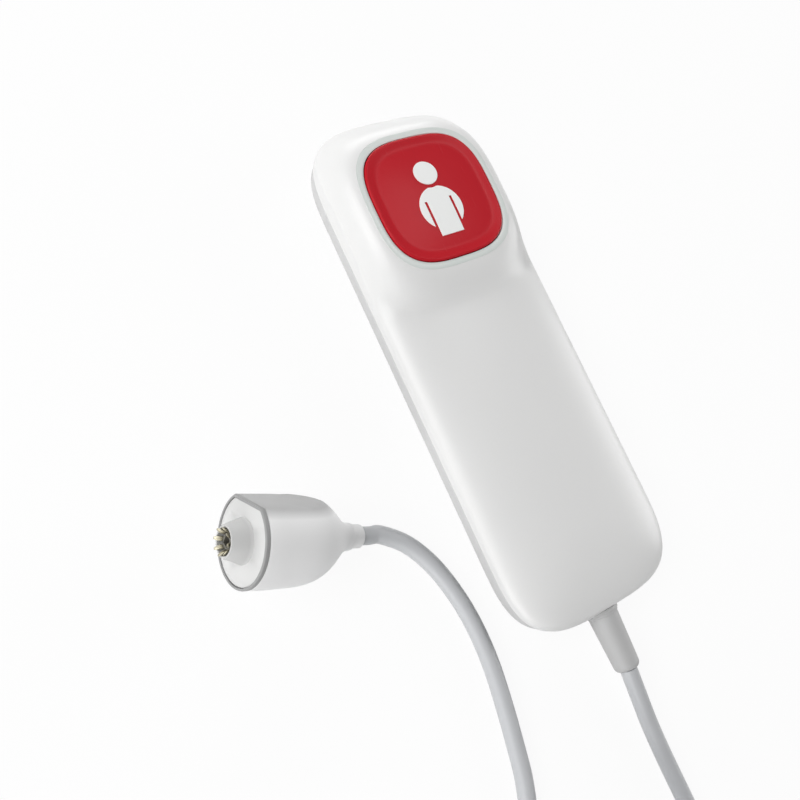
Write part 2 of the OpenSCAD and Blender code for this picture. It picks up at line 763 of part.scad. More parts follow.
module plug_collar() {
  end_z = bell_end - collar_l;
  color("white") at_plug() difference() {
    rotate_extrude() polygon([[0, bell_end], [collar_r + 0.4, bell_end], [collar_r, bell_end - 1.6],
      [collar_r, end_z + 0.3], [collar_r - 0.3, end_z], [0, end_z]]);
    rod(cord_r + bore_fit, end_z - 1, bell_end + 1);
  }
}

module plug_cord_end() {
  color("lightgray") at_plug() rod(cord_r, -plug_l, core_back - crimp_l);
}

module plug_crimp() {
  color("silver") at_plug() difference() {
    rod(cord_r + 0.5, core_back - crimp_l - 3, core_back);
    rod(cord_r + bore_fit, core_back - crimp_l - 4, core_back - 1);
  }
}

front_shell();
rear_shell();
case_seal();
light_ring();
button_cap();
button_symbol();
button_dome();
circuit_board();
switch_body();
switch_plunger();
for (i = [1:4]) lamp(i);
driver_chip();
for (i = [1:4]) resistor(i);
wire_header();
for (i = [1:4]) lead(i, lead_tones[i - 1]);
board_screws();
case_screws();
cable_clamp();
clamp_screws();
strain_relief();
inner_cord();
handset_cord();
cord_coil();
plug_cord();
for (i = [1:2]) coil_tie(i - 1);
plug_shell();
plug_rim();
plug_insert();
nose_core();
for (i = [1:contact_n]) contact(i);
plug_collar();
plug_cord_end();
plug_crimp();
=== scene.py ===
"""Nurse call handset with its call button, cord and plug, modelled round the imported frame."""

import math

import bmesh
import bpy
from mathutils import Matrix, Vector


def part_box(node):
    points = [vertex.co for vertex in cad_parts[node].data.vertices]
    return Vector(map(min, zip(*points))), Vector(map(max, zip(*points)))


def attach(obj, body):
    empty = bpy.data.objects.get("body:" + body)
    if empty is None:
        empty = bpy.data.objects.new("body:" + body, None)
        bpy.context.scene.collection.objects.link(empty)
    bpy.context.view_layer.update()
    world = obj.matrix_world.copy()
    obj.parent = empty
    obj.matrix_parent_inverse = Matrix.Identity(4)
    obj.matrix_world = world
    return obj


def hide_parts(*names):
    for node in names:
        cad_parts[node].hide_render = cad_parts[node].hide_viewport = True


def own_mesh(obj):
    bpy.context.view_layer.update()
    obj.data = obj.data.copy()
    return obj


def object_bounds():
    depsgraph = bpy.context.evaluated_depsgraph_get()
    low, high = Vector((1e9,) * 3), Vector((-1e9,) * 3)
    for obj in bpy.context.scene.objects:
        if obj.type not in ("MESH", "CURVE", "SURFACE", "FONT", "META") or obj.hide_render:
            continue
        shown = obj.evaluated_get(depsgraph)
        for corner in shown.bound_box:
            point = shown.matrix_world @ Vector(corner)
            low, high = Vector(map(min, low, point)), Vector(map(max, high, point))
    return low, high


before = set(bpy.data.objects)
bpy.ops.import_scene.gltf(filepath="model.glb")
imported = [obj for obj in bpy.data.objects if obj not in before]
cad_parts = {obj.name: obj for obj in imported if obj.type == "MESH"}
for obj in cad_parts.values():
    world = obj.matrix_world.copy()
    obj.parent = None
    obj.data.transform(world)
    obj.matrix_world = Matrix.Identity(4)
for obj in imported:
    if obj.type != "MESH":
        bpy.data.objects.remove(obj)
CAD_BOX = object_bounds()

bl_info = {
    "name": "Nurse Call Handset",
    "version": (1, 0, 0),
    "blender": (4, 5, 0),
    "location": "View3D > Sidebar > Handset",
    "description": "Models a nurse call handset with its call button, cord and plug",
    "category": "Add Mesh",
}

SEAL_LO, SEAL_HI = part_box("case_seal")
RING_LO, RING_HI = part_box("light_ring")
CAP_LO, CAP_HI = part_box("button_cap")
DOME_LO, DOME_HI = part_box("button_dome")
BUTTON_Y = (CAP_LO.y + CAP_HI.y) / 2
CREASE = math.radians(40)
CORD_PLAY = 0.00005
FLOOR_GAP = 0.00002


def size(name, description, default):
    """A length that a user can change."""
    return bpy.props.FloatProperty(
        name=name, description=description, default=default, unit="LENGTH", precision=5
    )


def number(name, description, default):
    """A plain number that a user can change."""
    return bpy.props.FloatProperty(name=name, description=description, default=default)


def angle(name, description, degrees):
    """An angle that a user can change."""
    return bpy.props.FloatProperty(
        name=name, description=description, default=math.radians(degrees), subtype="ANGLE"
    )


def colour(name, description, default):
    """A linear colour that a user can change."""
    return bpy.props.FloatVectorProperty(
        name=name, description=description, default=default, size=3, min=0, max=1, subtype="COLOR"
    )


class HandsetBody(bpy.types.PropertyGroup):
    """Sizes of the two shells and the strain relief."""

    width: size("Width", "Width across the grip", 0.042)
    length: size("Length", "Length from the head end to the tail end", 0.119)
    end_power: number("End squareness", "Squareness of the rounded ends in plan", 3.7)
    wall: size("Wall", "Wall of both shells", 0.002)
    seam_z: size("Seam height", "Height of the front shell's lower edge", SEAL_HI.z)
    rim_z: size("Rim height", "Height of the rear shell's upper edge", SEAL_LO.z)
    edge_h: size("Edge height", "Height of the front shell's upright edge", 0.0019)
    crown: size("Crown", "Rise of the grip above the front shell's lower edge", 0.0067)
    crown_power: number("Crown power", "Fullness of the crowned grip", 2.15)
    head_z: size("Head height", "Height of the raised head above the back", 0.0162)
    step_w: size("Step width", "Width of the soft step from the head to the grip", 0.0085)
    shoulder: number("Shoulder", "Share of an early fall in the head's shoulder", 0.3)
    back_r: size("Back rounding", "Rounding of the back edge", 0.0036)
    rear_inset: size("Rear inset", "How far the rear shell stands back at the seam", 0.0003)
    soft: size("Soft edge", "Rounding of the moulded edges", 0.0003)
    brow: size("Window edge", "Rounding of the window's edge round the light ring", 0.00008)
    fit: size("Fit", "Clearance between fixed pieces", 0.0001)
    relief_l: size("Relief length", "Length of the strain relief outside the handset", 0.014)
    relief_r: size("Relief radius", "Radius of the strain relief in the wall", 0.0027)
    relief_end_r: size("Relief end radius", "Radius of the strain relief at its end", 0.0029)
    relief_flare_r: size("Relief flare", "Radius of the collar against the tail", 0.0038)
    relief_root_r: size("Relief root", "Radius of the strain relief next to that collar", 0.00335)
    relief_z: size("Relief height", "Height of the cord's axis in the tail", 0.0042)


class CallButton(bpy.types.PropertyGroup):
    """Sizes of the call button, its ring and its return dome."""

    width: size("Width", "Width of the button", 0.029)
    power: number("Squareness", "Squareness of the button and its ring", 3.1)
    ring_w: size("Ring width", "Width of the light ring round the button", 0.0015)
    gap: size("Gap", "Running gap between the button and the ring", 0.0003)
    dish: size("Dish", "Depth of the dished middle below the rim", 0.00035)
    pillow: size("Pillow", "Rise of the middle above the foot of the border", 0.0004)
    border_w: size("Border", "Width of the bevelled border", 0.0022)
    wall: size("Wall", "Wall of the button cap", 0.0015)
    lip_w: size("Lip width", "Width of the lip that keeps the button in", 0.0011)
    lip_t: size("Lip thickness", "Thickness of that lip", 0.001)
    post_r: size("Post radius", "Radius of the post over the switch", 0.0026)
    figure_r: size("Figure head", "Radius of the figure's head", 0.0028)
    inlay_t: size("Inlay", "Thickness of the figure inlay", 0.0002)
    flange_t: size("Flange", "Thickness of the ring's flange", 0.001)


class CordRoute(bpy.types.PropertyGroup):
    """Sizes of the free cord, its stored coil and the ties."""

    diameter: size("Diameter", "Diameter of the cord", 0.0038)
    length: size("Length", "Whole length of the free cord", 1.99)
    loops: bpy.props.IntProperty(name="Loops", description="Whole loops in the stored coil", default=13)
    layers: bpy.props.IntProperty(name="Layers", description="Layers of the coil", default=4)
    mean_d: size("Coil diameter", "Coil diameter at the middle of its turns", 0.0426)
    turn_gap: size("Turn gap", "Clear gap between neighbouring turns", 0.0005)
    coil_y: size("Coil place", "Place of the coil's centre along the handset", -0.129)
    tie_w: size("Tie width", "Width of a coil tie", 0.008)
    tie_t: size("Tie thickness", "Thickness of a coil tie", 0.001)
    tie_angle: angle("Tie angle", "Place of the first tie round the coil", 110)


class CordPlug(bpy.types.PropertyGroup):
    """Sizes and pose of the plug."""

    bell_r: size("Bell radius", "Largest radius of the bell", 0.0089)
    bell_l: size("Bell length", "Length of the bell behind its rim", 0.0227)
    neck_r: size("Neck radius", "Radius of the bell's neck", 0.0028)
    front_r: size("Front radius", "Radius of the bell at its rim", 0.00875)
    swell: size("Swell", "Depth of the widest place behind the front", 0.004)
    bulge: number("Bulge", "Fullness of the bell behind its front", 4.66)
    taper: number("Taper", "Hollow of the bell towards its neck", 2.55)
    rim_t: size("Rim thickness", "Thickness of the rim", 0.0008)
    rim_w: size("Rim width", "Width of the rim", 0.0005)
    face_drop: size("Face drop", "Depth of the face below the rim's front", 0.00025)
    flat_r: size("Flat", "Distance of the flat from the plug's axis", 0.0073)
    flat_angle: angle("Flat angle", "Turn of the flat round the plug's axis", 246)
    collar_l: size("Collar length", "Length of the collar behind the bell", 0.0032)
    collar_r: size("Collar radius", "Radius of that collar", 0.0024)
    cavity_r: size("Cavity", "Radius of the hollow in the bell", 0.0056)
    stem_l: size("Stem", "Length of the insert's stem in the bell", 0.004)
    nose_r: size("Nose radius", "Radius of the nose where it leaves the face", 0.0043)
    tip_r: size("Tip radius", "Radius of the nose at its tip", 0.003)
    nose_h: size("Nose height", "Height of the nose above the face", 0.0036)
    bore_r: size("Nose bore", "Radius of the bore in the nose", 0.00255)
    core_r: size("Core radius", "Radius of the dark core", 0.0015)
    finger_w: size("Finger width", "Width of a contact finger", 0.0008)
    finger_up: size("Finger height", "Height of the fingers above the nose", 0.0006)
    tail_x: size("Tail X", "Place of the collar's end, sideways", -0.0427)
    tail_y: size("Tail Y", "Place of the collar's end, lengthways", -0.0235)
    tail_z: size("Tail Z", "Height of the collar's end", 0.0029206)
    heading: angle("Heading", "Direction in plan from the cord to the face", 160)
    tilt: angle("Tilt", "Rise of the plug's axis towards the face", 22)


class HandsetFinish(bpy.types.PropertyGroup):
    """Colours of the handset, its cord and its plug."""

    shell: colour("Shell", "White of the front shell", (0.78, 0.78, 0.775))
    back: colour("Back", "Pale grey of the rear shell", (0.59, 0.59, 0.59))
    seal: colour("Seal", "Grey of the case seal", (0.24, 0.24, 0.25))
    button: colour("Button", "Red of the call button", (0.5, 0.012, 0.021))
    figure: colour("Figure", "White of the figure", (0.88, 0.89, 0.88))
    ring: colour("Ring", "Pale grey of the light ring", (0.655, 0.695, 0.675))
    cord: colour("Cord", "Grey of the cord's jacket", (0.52, 0.53, 0.545))
    relief: colour("Relief", "Grey of the strain relief", (0.47, 0.47, 0.47))
    plug: colour("Plug", "White of the plug's bell", (0.9, 0.9, 0.9))
    # Painted shade: the share of the bell's white left on the plug's flat, standing in for the flat's
    # shading.
    flat_shade: number("Plug flat", "Share of that white on the plug's flat", 0.53)
    face: colour("Plug face", "Off-white of the plug's face and nose", (0.65, 0.65, 0.645))
    # Painted shade: the share of the face's off-white left on the nose, standing in for the nose's
    # shading.
    nose_shade: number("Plug nose", "Share of that off-white on the plug's nose", 0.85)
    rim: colour("Rim", "Grey of the plug's rim", (0.3, 0.3, 0.3))
    brass: colour("Contacts", "Dull plating of the contact fingers", (0.46, 0.43, 0.33))
    tie: colour("Ties", "Dark grey of the coil ties", (0.06, 0.06, 0.065))


class HandsetStage(bpy.types.PropertyGroup):
    """Camera, floor and lights."""

    lens: bpy.props.FloatProperty(name="Lens", description="Focal length on a 36 mm sensor", default=33.75)
    camera_place: bpy.props.FloatVectorProperty(
        name="Camera place", description="Where the camera stands", default=(-0.0875, -0.01904, 0.14956),
        size=3, subtype="TRANSLATION",
    )
    camera_right: bpy.props.FloatVectorProperty(
        name="Camera right", description="Direction of the picture's right side",
        default=(0.84786, -0.41602, 0.32873), size=3, subtype="DIRECTION",
    )
    camera_up: bpy.props.FloatVectorProperty(
        name="Camera up", description="Direction of the picture's upper side",
        default=(0.34079, 0.90254, 0.26323), size=3, subtype="DIRECTION",
    )
    floor_w: size("Floor width", "Width of the floor", 6)
    floor_tone: number("Floor tone", "Grey of the floor under the lamps", 0.9)
    floor_white: number("Floor white", "Share of plain white that the camera sees in the floor", 0.93)
    left_power: number("Left lamp", "Power of the large lamp at the left", 4.1)
    front_power: number("Front lamp", "Power of the low lamp at the left front", 1.4)
    right_power: number("Right lamp", "Power of the low lamp at the right", 2.35)
    back_power: number("Back lamp", "Power of the lamp beyond the head", 3.0)
    tail_power: number("Tail lamp", "Power of the low lamp before the tail", 0.6)
    glint_power: number("Soft box", "Power of the soft box that shows only in reflections", 0.36)
    world_level: number("World level", "Strength of the even light from all round", 0.03)


def settings(name):
    """The property group of that name on the scene."""
    return getattr(bpy.context.scene, name)


def signed_power(value, power):
    """The power of a value's size, with the value's sign."""
    return math.copysign(abs(value) ** power, value)


def fade(t):
    """Smooth step from 0 to 1."""
    t = min(max(t, 0), 1)
    return t * t * t * (t * (6 * t - 15) + 10)


def mix(a, b, t):
    """The value that share of the way from a to b."""
    return a + (b - a) * t


def both_ends(v):
    """Share of the way with its steps gathered at both ends."""
    return (1 - math.cos(math.pi * v)) / 2


def squircle(half, power, count, start=0.0):
    """Points of a squircle round the origin."""
    turns = [start + 2 * math.pi * i / count for i in range(count)]
    return [
        (half * signed_power(math.cos(a), 2 / power), half * signed_power(math.sin(a), 2 / power))
        for a in turns
    ]


def circle(radius, z, count):
    """A ring of points round the Z axis."""
    turns = [2 * math.pi * i / count for i in range(count)]
    return [Vector((radius * math.cos(a), radius * math.sin(a), z)) for a in turns]


def lift(points, z):
    """Flat points raised to a height."""
    return [Vector((x, y, z)) for x, y in points]


def soft_corner(outer, inner, steps=4):
    """Points of a quarter round from one profile point to another, bulging past the first's side."""
    (r0, z0), (r1, z1) = outer, inner
    turns = [math.pi / 2 * i / steps for i in range(steps + 1)]
    return [(r1 + (r0 - r1) * math.cos(a), z0 + (z1 - z0) * math.sin(a)) for a in turns]


class BodyForm:
    """Plan and heights of the handset's body."""

    END_POINTS = 52
    SIDE_POINTS = 30
    EARLY_FALL = 2.2

    def __init__(self):
        self.s = settings("handset_body")
        button = settings("handset_button")
        self.half_w = self.s.width / 2
        self.side_y = self.s.length / 2 - self.half_w
        self.button_power = button.power
        self.ring_out = button.width / 2 + button.ring_w
        self.count = 2 * (self.END_POINTS + self.SIDE_POINTS)

    def end_arc(self, half, turn):
        """One end of the outline, from one side round to the other."""
        shift = self.side_y if turn == 0 else -self.side_y
        arc = []
        for k in range(self.END_POINTS):
            a = math.pi * k / (self.END_POINTS - 1) + turn
            x = half * signed_power(math.cos(a), 2 / self.s.end_power)
            arc.append((x, half * signed_power(math.sin(a), 2 / self.s.end_power) + shift))
        return arc

    def outline(self, inset):
        """Body outline moved in by an inset, anticlockwise from the right shoulder."""
        half = self.half_w - inset
        step = 2 * self.side_y / (self.SIDE_POINTS + 1)
        left = [(-half, self.side_y - j * step) for j in range(1, self.SIDE_POINTS + 1)]
        right = [(half, -self.side_y + j * step) for j in range(1, self.SIDE_POINTS + 1)]
        return self.end_arc(half, 0) + left + self.end_arc(half, math.pi) + right

    def facing_squircle(self, half):
        """Squircle round the button whose points face the outline's."""
        first = math.pi / 2 - math.pi * (self.END_POINTS - 1) / self.count
        return [(x, y + BUTTON_Y) for x, y in squircle(half, self.button_power, self.count, first)]

    def front_z(self, x, y, inset):
        """Height of the front surface, or of a surface that far inside it."""
        s = self.s
        past = max(abs(y) - self.side_y, 0)
        reach = (abs(x) ** s.end_power + past ** s.end_power) ** (1 / s.end_power)
        rho = min(reach / (self.half_w - inset), 1)
        grip = s.seam_z + s.edge_h + (s.crown - s.edge_h - inset) * math.sqrt(1 - rho ** s.crown_power)
        p = self.button_power
        r = (abs(x) ** p + abs(y - BUTTON_Y) ** p) ** (1 / p)
        t = min(max((r - self.ring_out) / s.step_w, 0), 1)
        early = 1 - (1 - t) ** self.EARLY_FALL
        fall = fade(t) if inset else mix(fade(t), early, s.shoulder)
        return mix(s.head_z - inset, grip, fall)

    def front_ring(self, inset, window, share):
        """Ring of the front surface between the outline and the button's window."""
        ring = []
        for (x0, y0), (x1, y1) in zip(self.outline(inset), window):
            x, y = mix(x0, x1, share), mix(y0, y1, share)
            ring.append(Vector((x, y, self.front_z(x, y, inset))))
        return ring


def clear_selection():
    """Leaves edit mode and deselects everything."""
    if bpy.context.object and bpy.context.object.mode != "OBJECT":
        bpy.ops.object.mode_set(mode="OBJECT")
    bpy.ops.object.select_all(action="DESELECT")


def pick(piece):
    """Makes one piece the selected and active object."""
    clear_selection()
    piece.select_set(True)
    bpy.context.view_layer.objects.active = piece


def extrude_ring(piece, here, ring):
    """Extrudes the selected ring of edges and moves the new points to their places."""
    bpy.ops.mesh.extrude_edges_move()
    work = bmesh.from_edit_mesh(piece.data)
    work.verts.index_update()
    work.verts.ensure_lookup_table()
    there = []
    for index, place in zip(here, ring):
        old = work.verts[index]
        new = next(e.other_vert(old) for e in old.link_edges if e.other_vert(old).select)
        new.co = place
        there.append(new.index)
    bmesh.update_edit_mesh(piece.data)
    return there


def loft(name, rings, looped=False):
    """A closed piece over rings of points: a loop of them, or a run with both ends filled."""
    clear_selection()
    bpy.ops.mesh.primitive_circle_add(vertices=len(rings[0]), radius=0.01, fill_type="NOTHING")
    piece = bpy.context.object
    piece.name = name
    piece.data.name = name
    for vertex, place in zip(piece.data.vertices, rings[0]):
        vertex.co = place
    bpy.ops.object.mode_set(mode="EDIT")
    bpy.ops.mesh.select_mode(type="EDGE")
    bpy.ops.mesh.select_all(action="SELECT")
    if not looped:
        bpy.ops.mesh.edge_face_add()
    here = list(range(len(rings[0])))
    for ring in rings[1:] + ([rings[0]] if looped else []):
        here = extrude_ring(piece, here, ring)
    if not looped:
        bpy.ops.mesh.edge_face_add()
    close_mesh()
    return piece


def close_mesh():
    """Merges doubles, turns the faces outwards and smooths all but the creases."""
    bpy.ops.mesh.select_all(action="SELECT")
    bpy.ops.mesh.remove_doubles(threshold=1e-7)
    bpy.ops.mesh.normals_make_consistent(inside=False)
    bpy.ops.object.mode_set(mode="OBJECT")
    bpy.ops.object.shade_smooth_by_angle(angle=CREASE)


def turned(name, profile, looped=False, count=96):
    """A piece turned round the Z axis from a profile of radius and height."""
    return loft(name, [circle(r, z, count) for r, z in profile], looped)


def slab(name, unit, half_x, half_y, thick, edge=0.0002):
    """A plate with softened edges, standing on the origin, from an outline of unit size."""
    levels = [(-edge, 0), (0, edge), (0, thick - edge), (-edge, thick)]
    rings = [[Vector((x * (half_x + g), y * (half_y + g), z)) for x, y in unit] for g, z in levels]
    return loft(name, rings)


def move_mesh(piece, matrix):
    """Puts a piece in place and applies the place to its mesh."""
    pick(piece)
    piece.matrix_world = matrix
    bpy.ops.object.transform_apply(location=True, rotation=True, scale=True)
    return piece


def join(pieces):
    """Joins pieces into the first one."""
    clear_selection()
    for piece in pieces:
        piece.select_set(True)
    bpy.context.view_layer.objects.active = pieces[0]
    bpy.ops.object.join()
    return pieces[0]


def combine(piece, tool, operation):
    """Applies a Boolean with a tool piece, and removes the tool."""
    pick(piece)
    change = piece.modifiers.new(operation.title(), "BOOLEAN")
    change.operation = operation
    change.object = tool
    change.solver = "EXACT"
    bpy.ops.object.modifier_apply(modifier=change.name)
    bpy.data.objects.remove(tool)
    return piece


def soften(piece, width, segments=2):
    """Bevels the sharp edges of a piece."""
    pick(piece)
    bevel = piece.modifiers.new("Soft edges", "BEVEL")
    bevel.width = width
    bevel.segments = segments
    bevel.limit_method = "ANGLE"
    bevel.angle_limit = math.radians(50)
    bevel.use_clamp_overlap = True
    bpy.ops.object.modifier_apply(modifier=bevel.name)
    bpy.ops.object.shade_smooth_by_angle(angle=CREASE)
    return piece


def grid_cut(piece, step, reach):
    """Cuts the faces of a piece along a grid in X and Y, so that it can follow a curve."""
    pick(piece)
    bpy.ops.object.mode_set(mode="EDIT")
    for across in (Vector((1, 0, 0)), Vector((0, 1, 0))):
        for k in range(-reach, reach + 1):
            bpy.ops.mesh.select_all(action="SELECT")
            bpy.ops.mesh.bisect(plane_co=across * step * k, plane_no=across)
    close_mesh()


def copy_piece(piece, name):
    """A copy with a mesh of its own."""
    twin = piece.copy()
    twin.data = piece.data.copy()
    twin.name = name
    twin.data.name = name
    bpy.context.collection.objects.link(twin)
    return twin


def dress(piece, finish):
    """Gives a piece one finish."""
    piece.data.materials.clear()
    piece.data.materials.append(finish)
    return piece


def hand_over(piece, finish, slot, body, *nodes):
    """Finishes a piece, lets it ride on its body and stand for its CAD nodes."""
    dress(piece, finish)
    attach(piece, body)
    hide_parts(*nodes)
    return piece


def node_group(name, inputs, outputs):
    """A new shader node group with its sockets; returns the tree and its two end nodes."""
    tree = bpy.data.node_groups.new(name, "ShaderNodeTree")
    for label, kind, default in inputs:
        socket = tree.interface.new_socket(name=label, in_out="INPUT", socket_type=kind)
        socket.default_value = default
    for label, kind in outputs:
        tree.interface.new_socket(name=label, in_out="OUTPUT", socket_type=kind)
    return tree, tree.nodes.new("NodeGroupInput"), tree.nodes.new("NodeGroupOutput")


def math_node(tree, operation, first, second):
    """A Math node on two sockets or numbers."""
    node = tree.nodes.new("ShaderNodeMath")
    node.operation = operation
    for socket, value in zip(node.inputs, (first, second)):
        if isinstance(value, bpy.types.NodeSocket):
            tree.links.new(value, socket)
        else:
            socket.default_value = value
    return node.outputs[0]


def vector_node(tree, operation, first):
    """A Vector Math node with its first input linked."""
    node = tree.nodes.new("ShaderNodeVectorMath")
    node.operation = operation
    tree.links.new(first, node.inputs[0])
    return node


def noise_node(tree, place, scale, detail):
    """A noise texture on given coordinates."""
    node = tree.nodes.new("ShaderNodeTexNoise")
    tree.links.new(place, node.inputs["Vector"])
    node.inputs["Detail"].default_value = detail
    if isinstance(scale, bpy.types.NodeSocket):
        tree.links.new(scale, node.inputs["Scale"])
    else:
        node.inputs["Scale"].default_value = scale
    return node.outputs["Fac"]


def object_place(tree):
    """Object coordinates."""
    return tree.nodes.new("ShaderNodeTexCoord").outputs["Object"]


def tone_group():
    """Slow drift of a colour over a surface, with faint speckle."""
    tree, given, result = node_group(
        "Tone drift",
        [("Colour", "NodeSocketColor", (1, 1, 1, 1)), ("Drift", "NodeSocketFloat", 0.04),
         ("Scale", "NodeSocketFloat", 60.0), ("Speckle", "NodeSocketFloat", 0.02)],
        [("Colour", "NodeSocketColor")],
    )
    place = object_place(tree)
    slow = math_node(tree, "SUBTRACT", noise_node(tree, place, given.outputs["Scale"], 2.0), 0.5)
    fine = math_node(tree, "SUBTRACT", noise_node(tree, place, 2600.0, 1.0), 0.5)
    drift = math_node(tree, "MULTIPLY", slow, given.outputs["Drift"])
    speckle = math_node(tree, "MULTIPLY", fine, given.outputs["Speckle"])
    level = math_node(tree, "ADD", math_node(tree, "ADD", drift, speckle), 1.0)
    scaled = vector_node(tree, "SCALE", given.outputs["Colour"])
    tree.links.new(level, scaled.inputs["Scale"])
    tree.links.new(scaled.outputs[0], result.inputs["Colour"])
    return tree


def grain_group():
    """Height of a fine spark-eroded mould grain."""
    tree, given, result = node_group(
        "Mould grain",
        [("Scale", "NodeSocketFloat", 2200.0), ("Coarse", "NodeSocketFloat", 0.3)],
        [("Height", "NodeSocketFloat")],
    )
    place = object_place(tree)
    fine = noise_node(tree, place, given.outputs["Scale"], 3.0)
    broad = noise_node(tree, place, 180.0, 2.0)
    height = math_node(tree, "ADD", fine, math_node(tree, "MULTIPLY", broad, given.outputs["Coarse"]))
    tree.links.new(height, result.inputs["Height"])
    return tree


def handling_group():
    """Roughness that rises and falls with handling marks and hairline scratches."""
    tree, given, result = node_group(
        "Handling marks",
        [("Roughness", "NodeSocketFloat", 0.4), ("Marks", "NodeSocketFloat", 0.08)],
        [("Roughness", "NodeSocketFloat")],
    )
    place = object_place(tree)
    smear = math_node(tree, "SUBTRACT", noise_node(tree, place, 110.0, 4.0), 0.5)
    stretch = tree.nodes.new("ShaderNodeMapping")
    stretch.inputs["Rotation"].default_value = (0.0, 0.0, 0.6)
    stretch.inputs["Scale"].default_value = (1.0, 0.04, 1.0)
    tree.links.new(place, stretch.inputs["Vector"])
    hair = math_node(tree, "GREATER_THAN", noise_node(tree, stretch.outputs[0], 3200.0, 1.0), 0.72)
    marks = math_node(tree, "ADD", smear, math_node(tree, "MULTIPLY", hair, 0.6))
    changed = math_node(tree, "MULTIPLY", marks, given.outputs["Marks"])
    total = math_node(tree, "ADD", changed, given.outputs["Roughness"])
    tree.links.new(total, result.inputs["Roughness"])
    return tree


def place_group(tree, group, **values):
    """Puts a node group into a tree with its own values."""
    node = tree.nodes.new("ShaderNodeGroup")
    node.node_tree = group
    for label, value in values.items():
        node.inputs[label].default_value = value
    return node


class Finishes:
    """The materials, each built once and kept by name."""

    PARTS = {
        "shell": ("Cover_white", 0.36, 0.02, 0.04, {"Specular_IOR_Level": 0.4}),
        "back": ("Cover_grey", 0.42, 0.02, 0.06, {"Specular_IOR_Level": 0.3}),
        "seal": ("Seal_rubber", 0.75, 0.08, 0.1, {}),
        "button": (
            "Button_red", 0.27, 0.05, 0.03, {"scale": 2600.0, "marks": 0.02, "Specular_IOR_Level": 0.09},
        ),
        "figure": ("Figure_white", 0.45, 0.03, 0.04, {}),
        "ring": ("Ring_milky", 0.32, 0.03, 0.03, {"Specular_IOR_Level": 0.5}),
        "cord": ("Cord_jacket", 0.36, 0.05, 0.08, {"scale": 1500.0, "marks": 0.12}),
        "relief": ("Relief_grey", 0.5, 0.04, 0.1, {"scale": 1800.0}),
        "plug": ("Plug_white", 0.55, 0.03, 0.05, {"Specular_IOR_Level": 0.08}),
        "face": ("Plug_face_white", 0.5, 0.03, 0.05, {"Specular_IOR_Level": 0.2}),
        "rim": ("Plug_rim_grey", 0.45, 0.04, 0.06, {}),
        "brass": ("Contact_brass", 0.42, 0.12, 0.08, {"scale": 3000.0, "marks": 0.2, "Metallic": 1.0}),
        "tie": ("Tie_woven", 0.85, 0.3, 0.0, {"Sheen_Weight": 0.3}),
    }
    made = {}
    groups = {}

    @classmethod
    def group(cls, maker):
        """A shared node group, built at its first use."""
        if maker.__name__ not in cls.groups:
            cls.groups[maker.__name__] = maker()
        return cls.groups[maker.__name__]

    @classmethod
    def plastic(cls, name, tone, roughness, drift, grain, scale=2200.0, marks=0.08, **sockets):
        """A moulded surface with tone drift, mould grain and handling marks."""
        if name in cls.made:
            return cls.made[name]
        finish = bpy.data.materials.new(name)
        finish.use_nodes = True
        tree = finish.node_tree
        shader = tree.nodes["Principled BSDF"]
        tint = place_group(tree, cls.group(tone_group), Colour=(*tone, 1.0), Drift=drift)
        tree.links.new(tint.outputs["Colour"], shader.inputs["Base Color"])
        rough = place_group(tree, cls.group(handling_group), Roughness=roughness, Marks=marks)
        tree.links.new(rough.outputs["Roughness"], shader.inputs["Roughness"])
        texture = place_group(tree, cls.group(grain_group), Scale=scale)
        bump = tree.nodes.new("ShaderNodeBump")
        bump.inputs["Strength"].default_value = grain
        bump.inputs["Distance"].default_value = 0.0001
        tree.links.new(texture.outputs["Height"], bump.inputs["Height"])
        tree.links.new(bump.outputs["Normal"], shader.inputs["Normal"])
        for label, value in sockets.items():
            shader.inputs[label.replace("_", " ")].default_value = value
        cls.made[name] = finish
        return finish

    @classmethod
    def of(cls, part, name=None):
        """The finish of a part whose colour is among the settings, under its own or another name."""
        own_name, roughness, drift, grain, more = cls.PARTS[part]
        tone = getattr(settings("handset_finish"), part)
        return cls.plastic(name or own_name, tone, roughness, drift, grain, **more)

    @classmethod
    def bell(cls, place, out):
        """The plug's white, with painted shade that greys it on the flat through a place, square to a
        direction.
        """
        depth = 0.0016
        finish = cls.of("plug", "Bell_white")
        return cls.paint_shade(finish, place, out, depth, settings("handset_finish").flat_shade)

    @staticmethod
    def paint_shade(finish, place, out, depth, share):
        """A finish with painted shade: its tone falls to a share at a plane, from that depth in front of
        it.
        """
        tree = finish.node_tree
        base = tree.nodes["Principled BSDF"].inputs["Base Color"]
        plain = base.links[0].from_socket
        along = vector_node(tree, "DOT_PRODUCT", object_place(tree))
        along.inputs[1].default_value = out
        level = tree.nodes.new("ShaderNodeMapRange")
        reach = place.dot(out)
        steps = {"From Min": reach - depth, "From Max": reach, "To Min": 1.0, "To Max": share}
        for label, value in steps.items():
            level.inputs[label].default_value = value
        tree.links.new(along.outputs["Value"], level.inputs["Value"])
        shaded = vector_node(tree, "SCALE", plain)
        tree.links.new(level.outputs["Result"], shaded.inputs["Scale"])
        tree.links.new(shaded.outputs["Vector"], base)
        return finish

    @classmethod
    def face(cls, place, out):
        """Off-white moulding of the plug's face, with painted shade that greys the nose past a place on
        the plug's axis.
        """
        depth = 0.0006
        return cls.paint_shade(cls.of("face"), place, out, depth, settings("handset_finish").nose_shade)

    @classmethod
    def tie(cls):
        """Woven hook band of the coil ties."""
        finish = cls.of("tie")
        tree = finish.node_tree
        weave = tree.nodes.new("ShaderNodeTexWave")
        weave.inputs["Scale"].default_value = 900.0
        weave.inputs["Distortion"].default_value = 1.5
        tree.links.new(object_place(tree), weave.inputs["Vector"])
        bump = next(n for n in tree.nodes if n.bl_idname == "ShaderNodeBump")
        bump.inputs["Strength"].default_value = 0.6
        bump.inputs["Distance"].default_value = 0.0002
        tree.links.new(weave.outputs["Fac"], bump.inputs["Height"])
        return finish


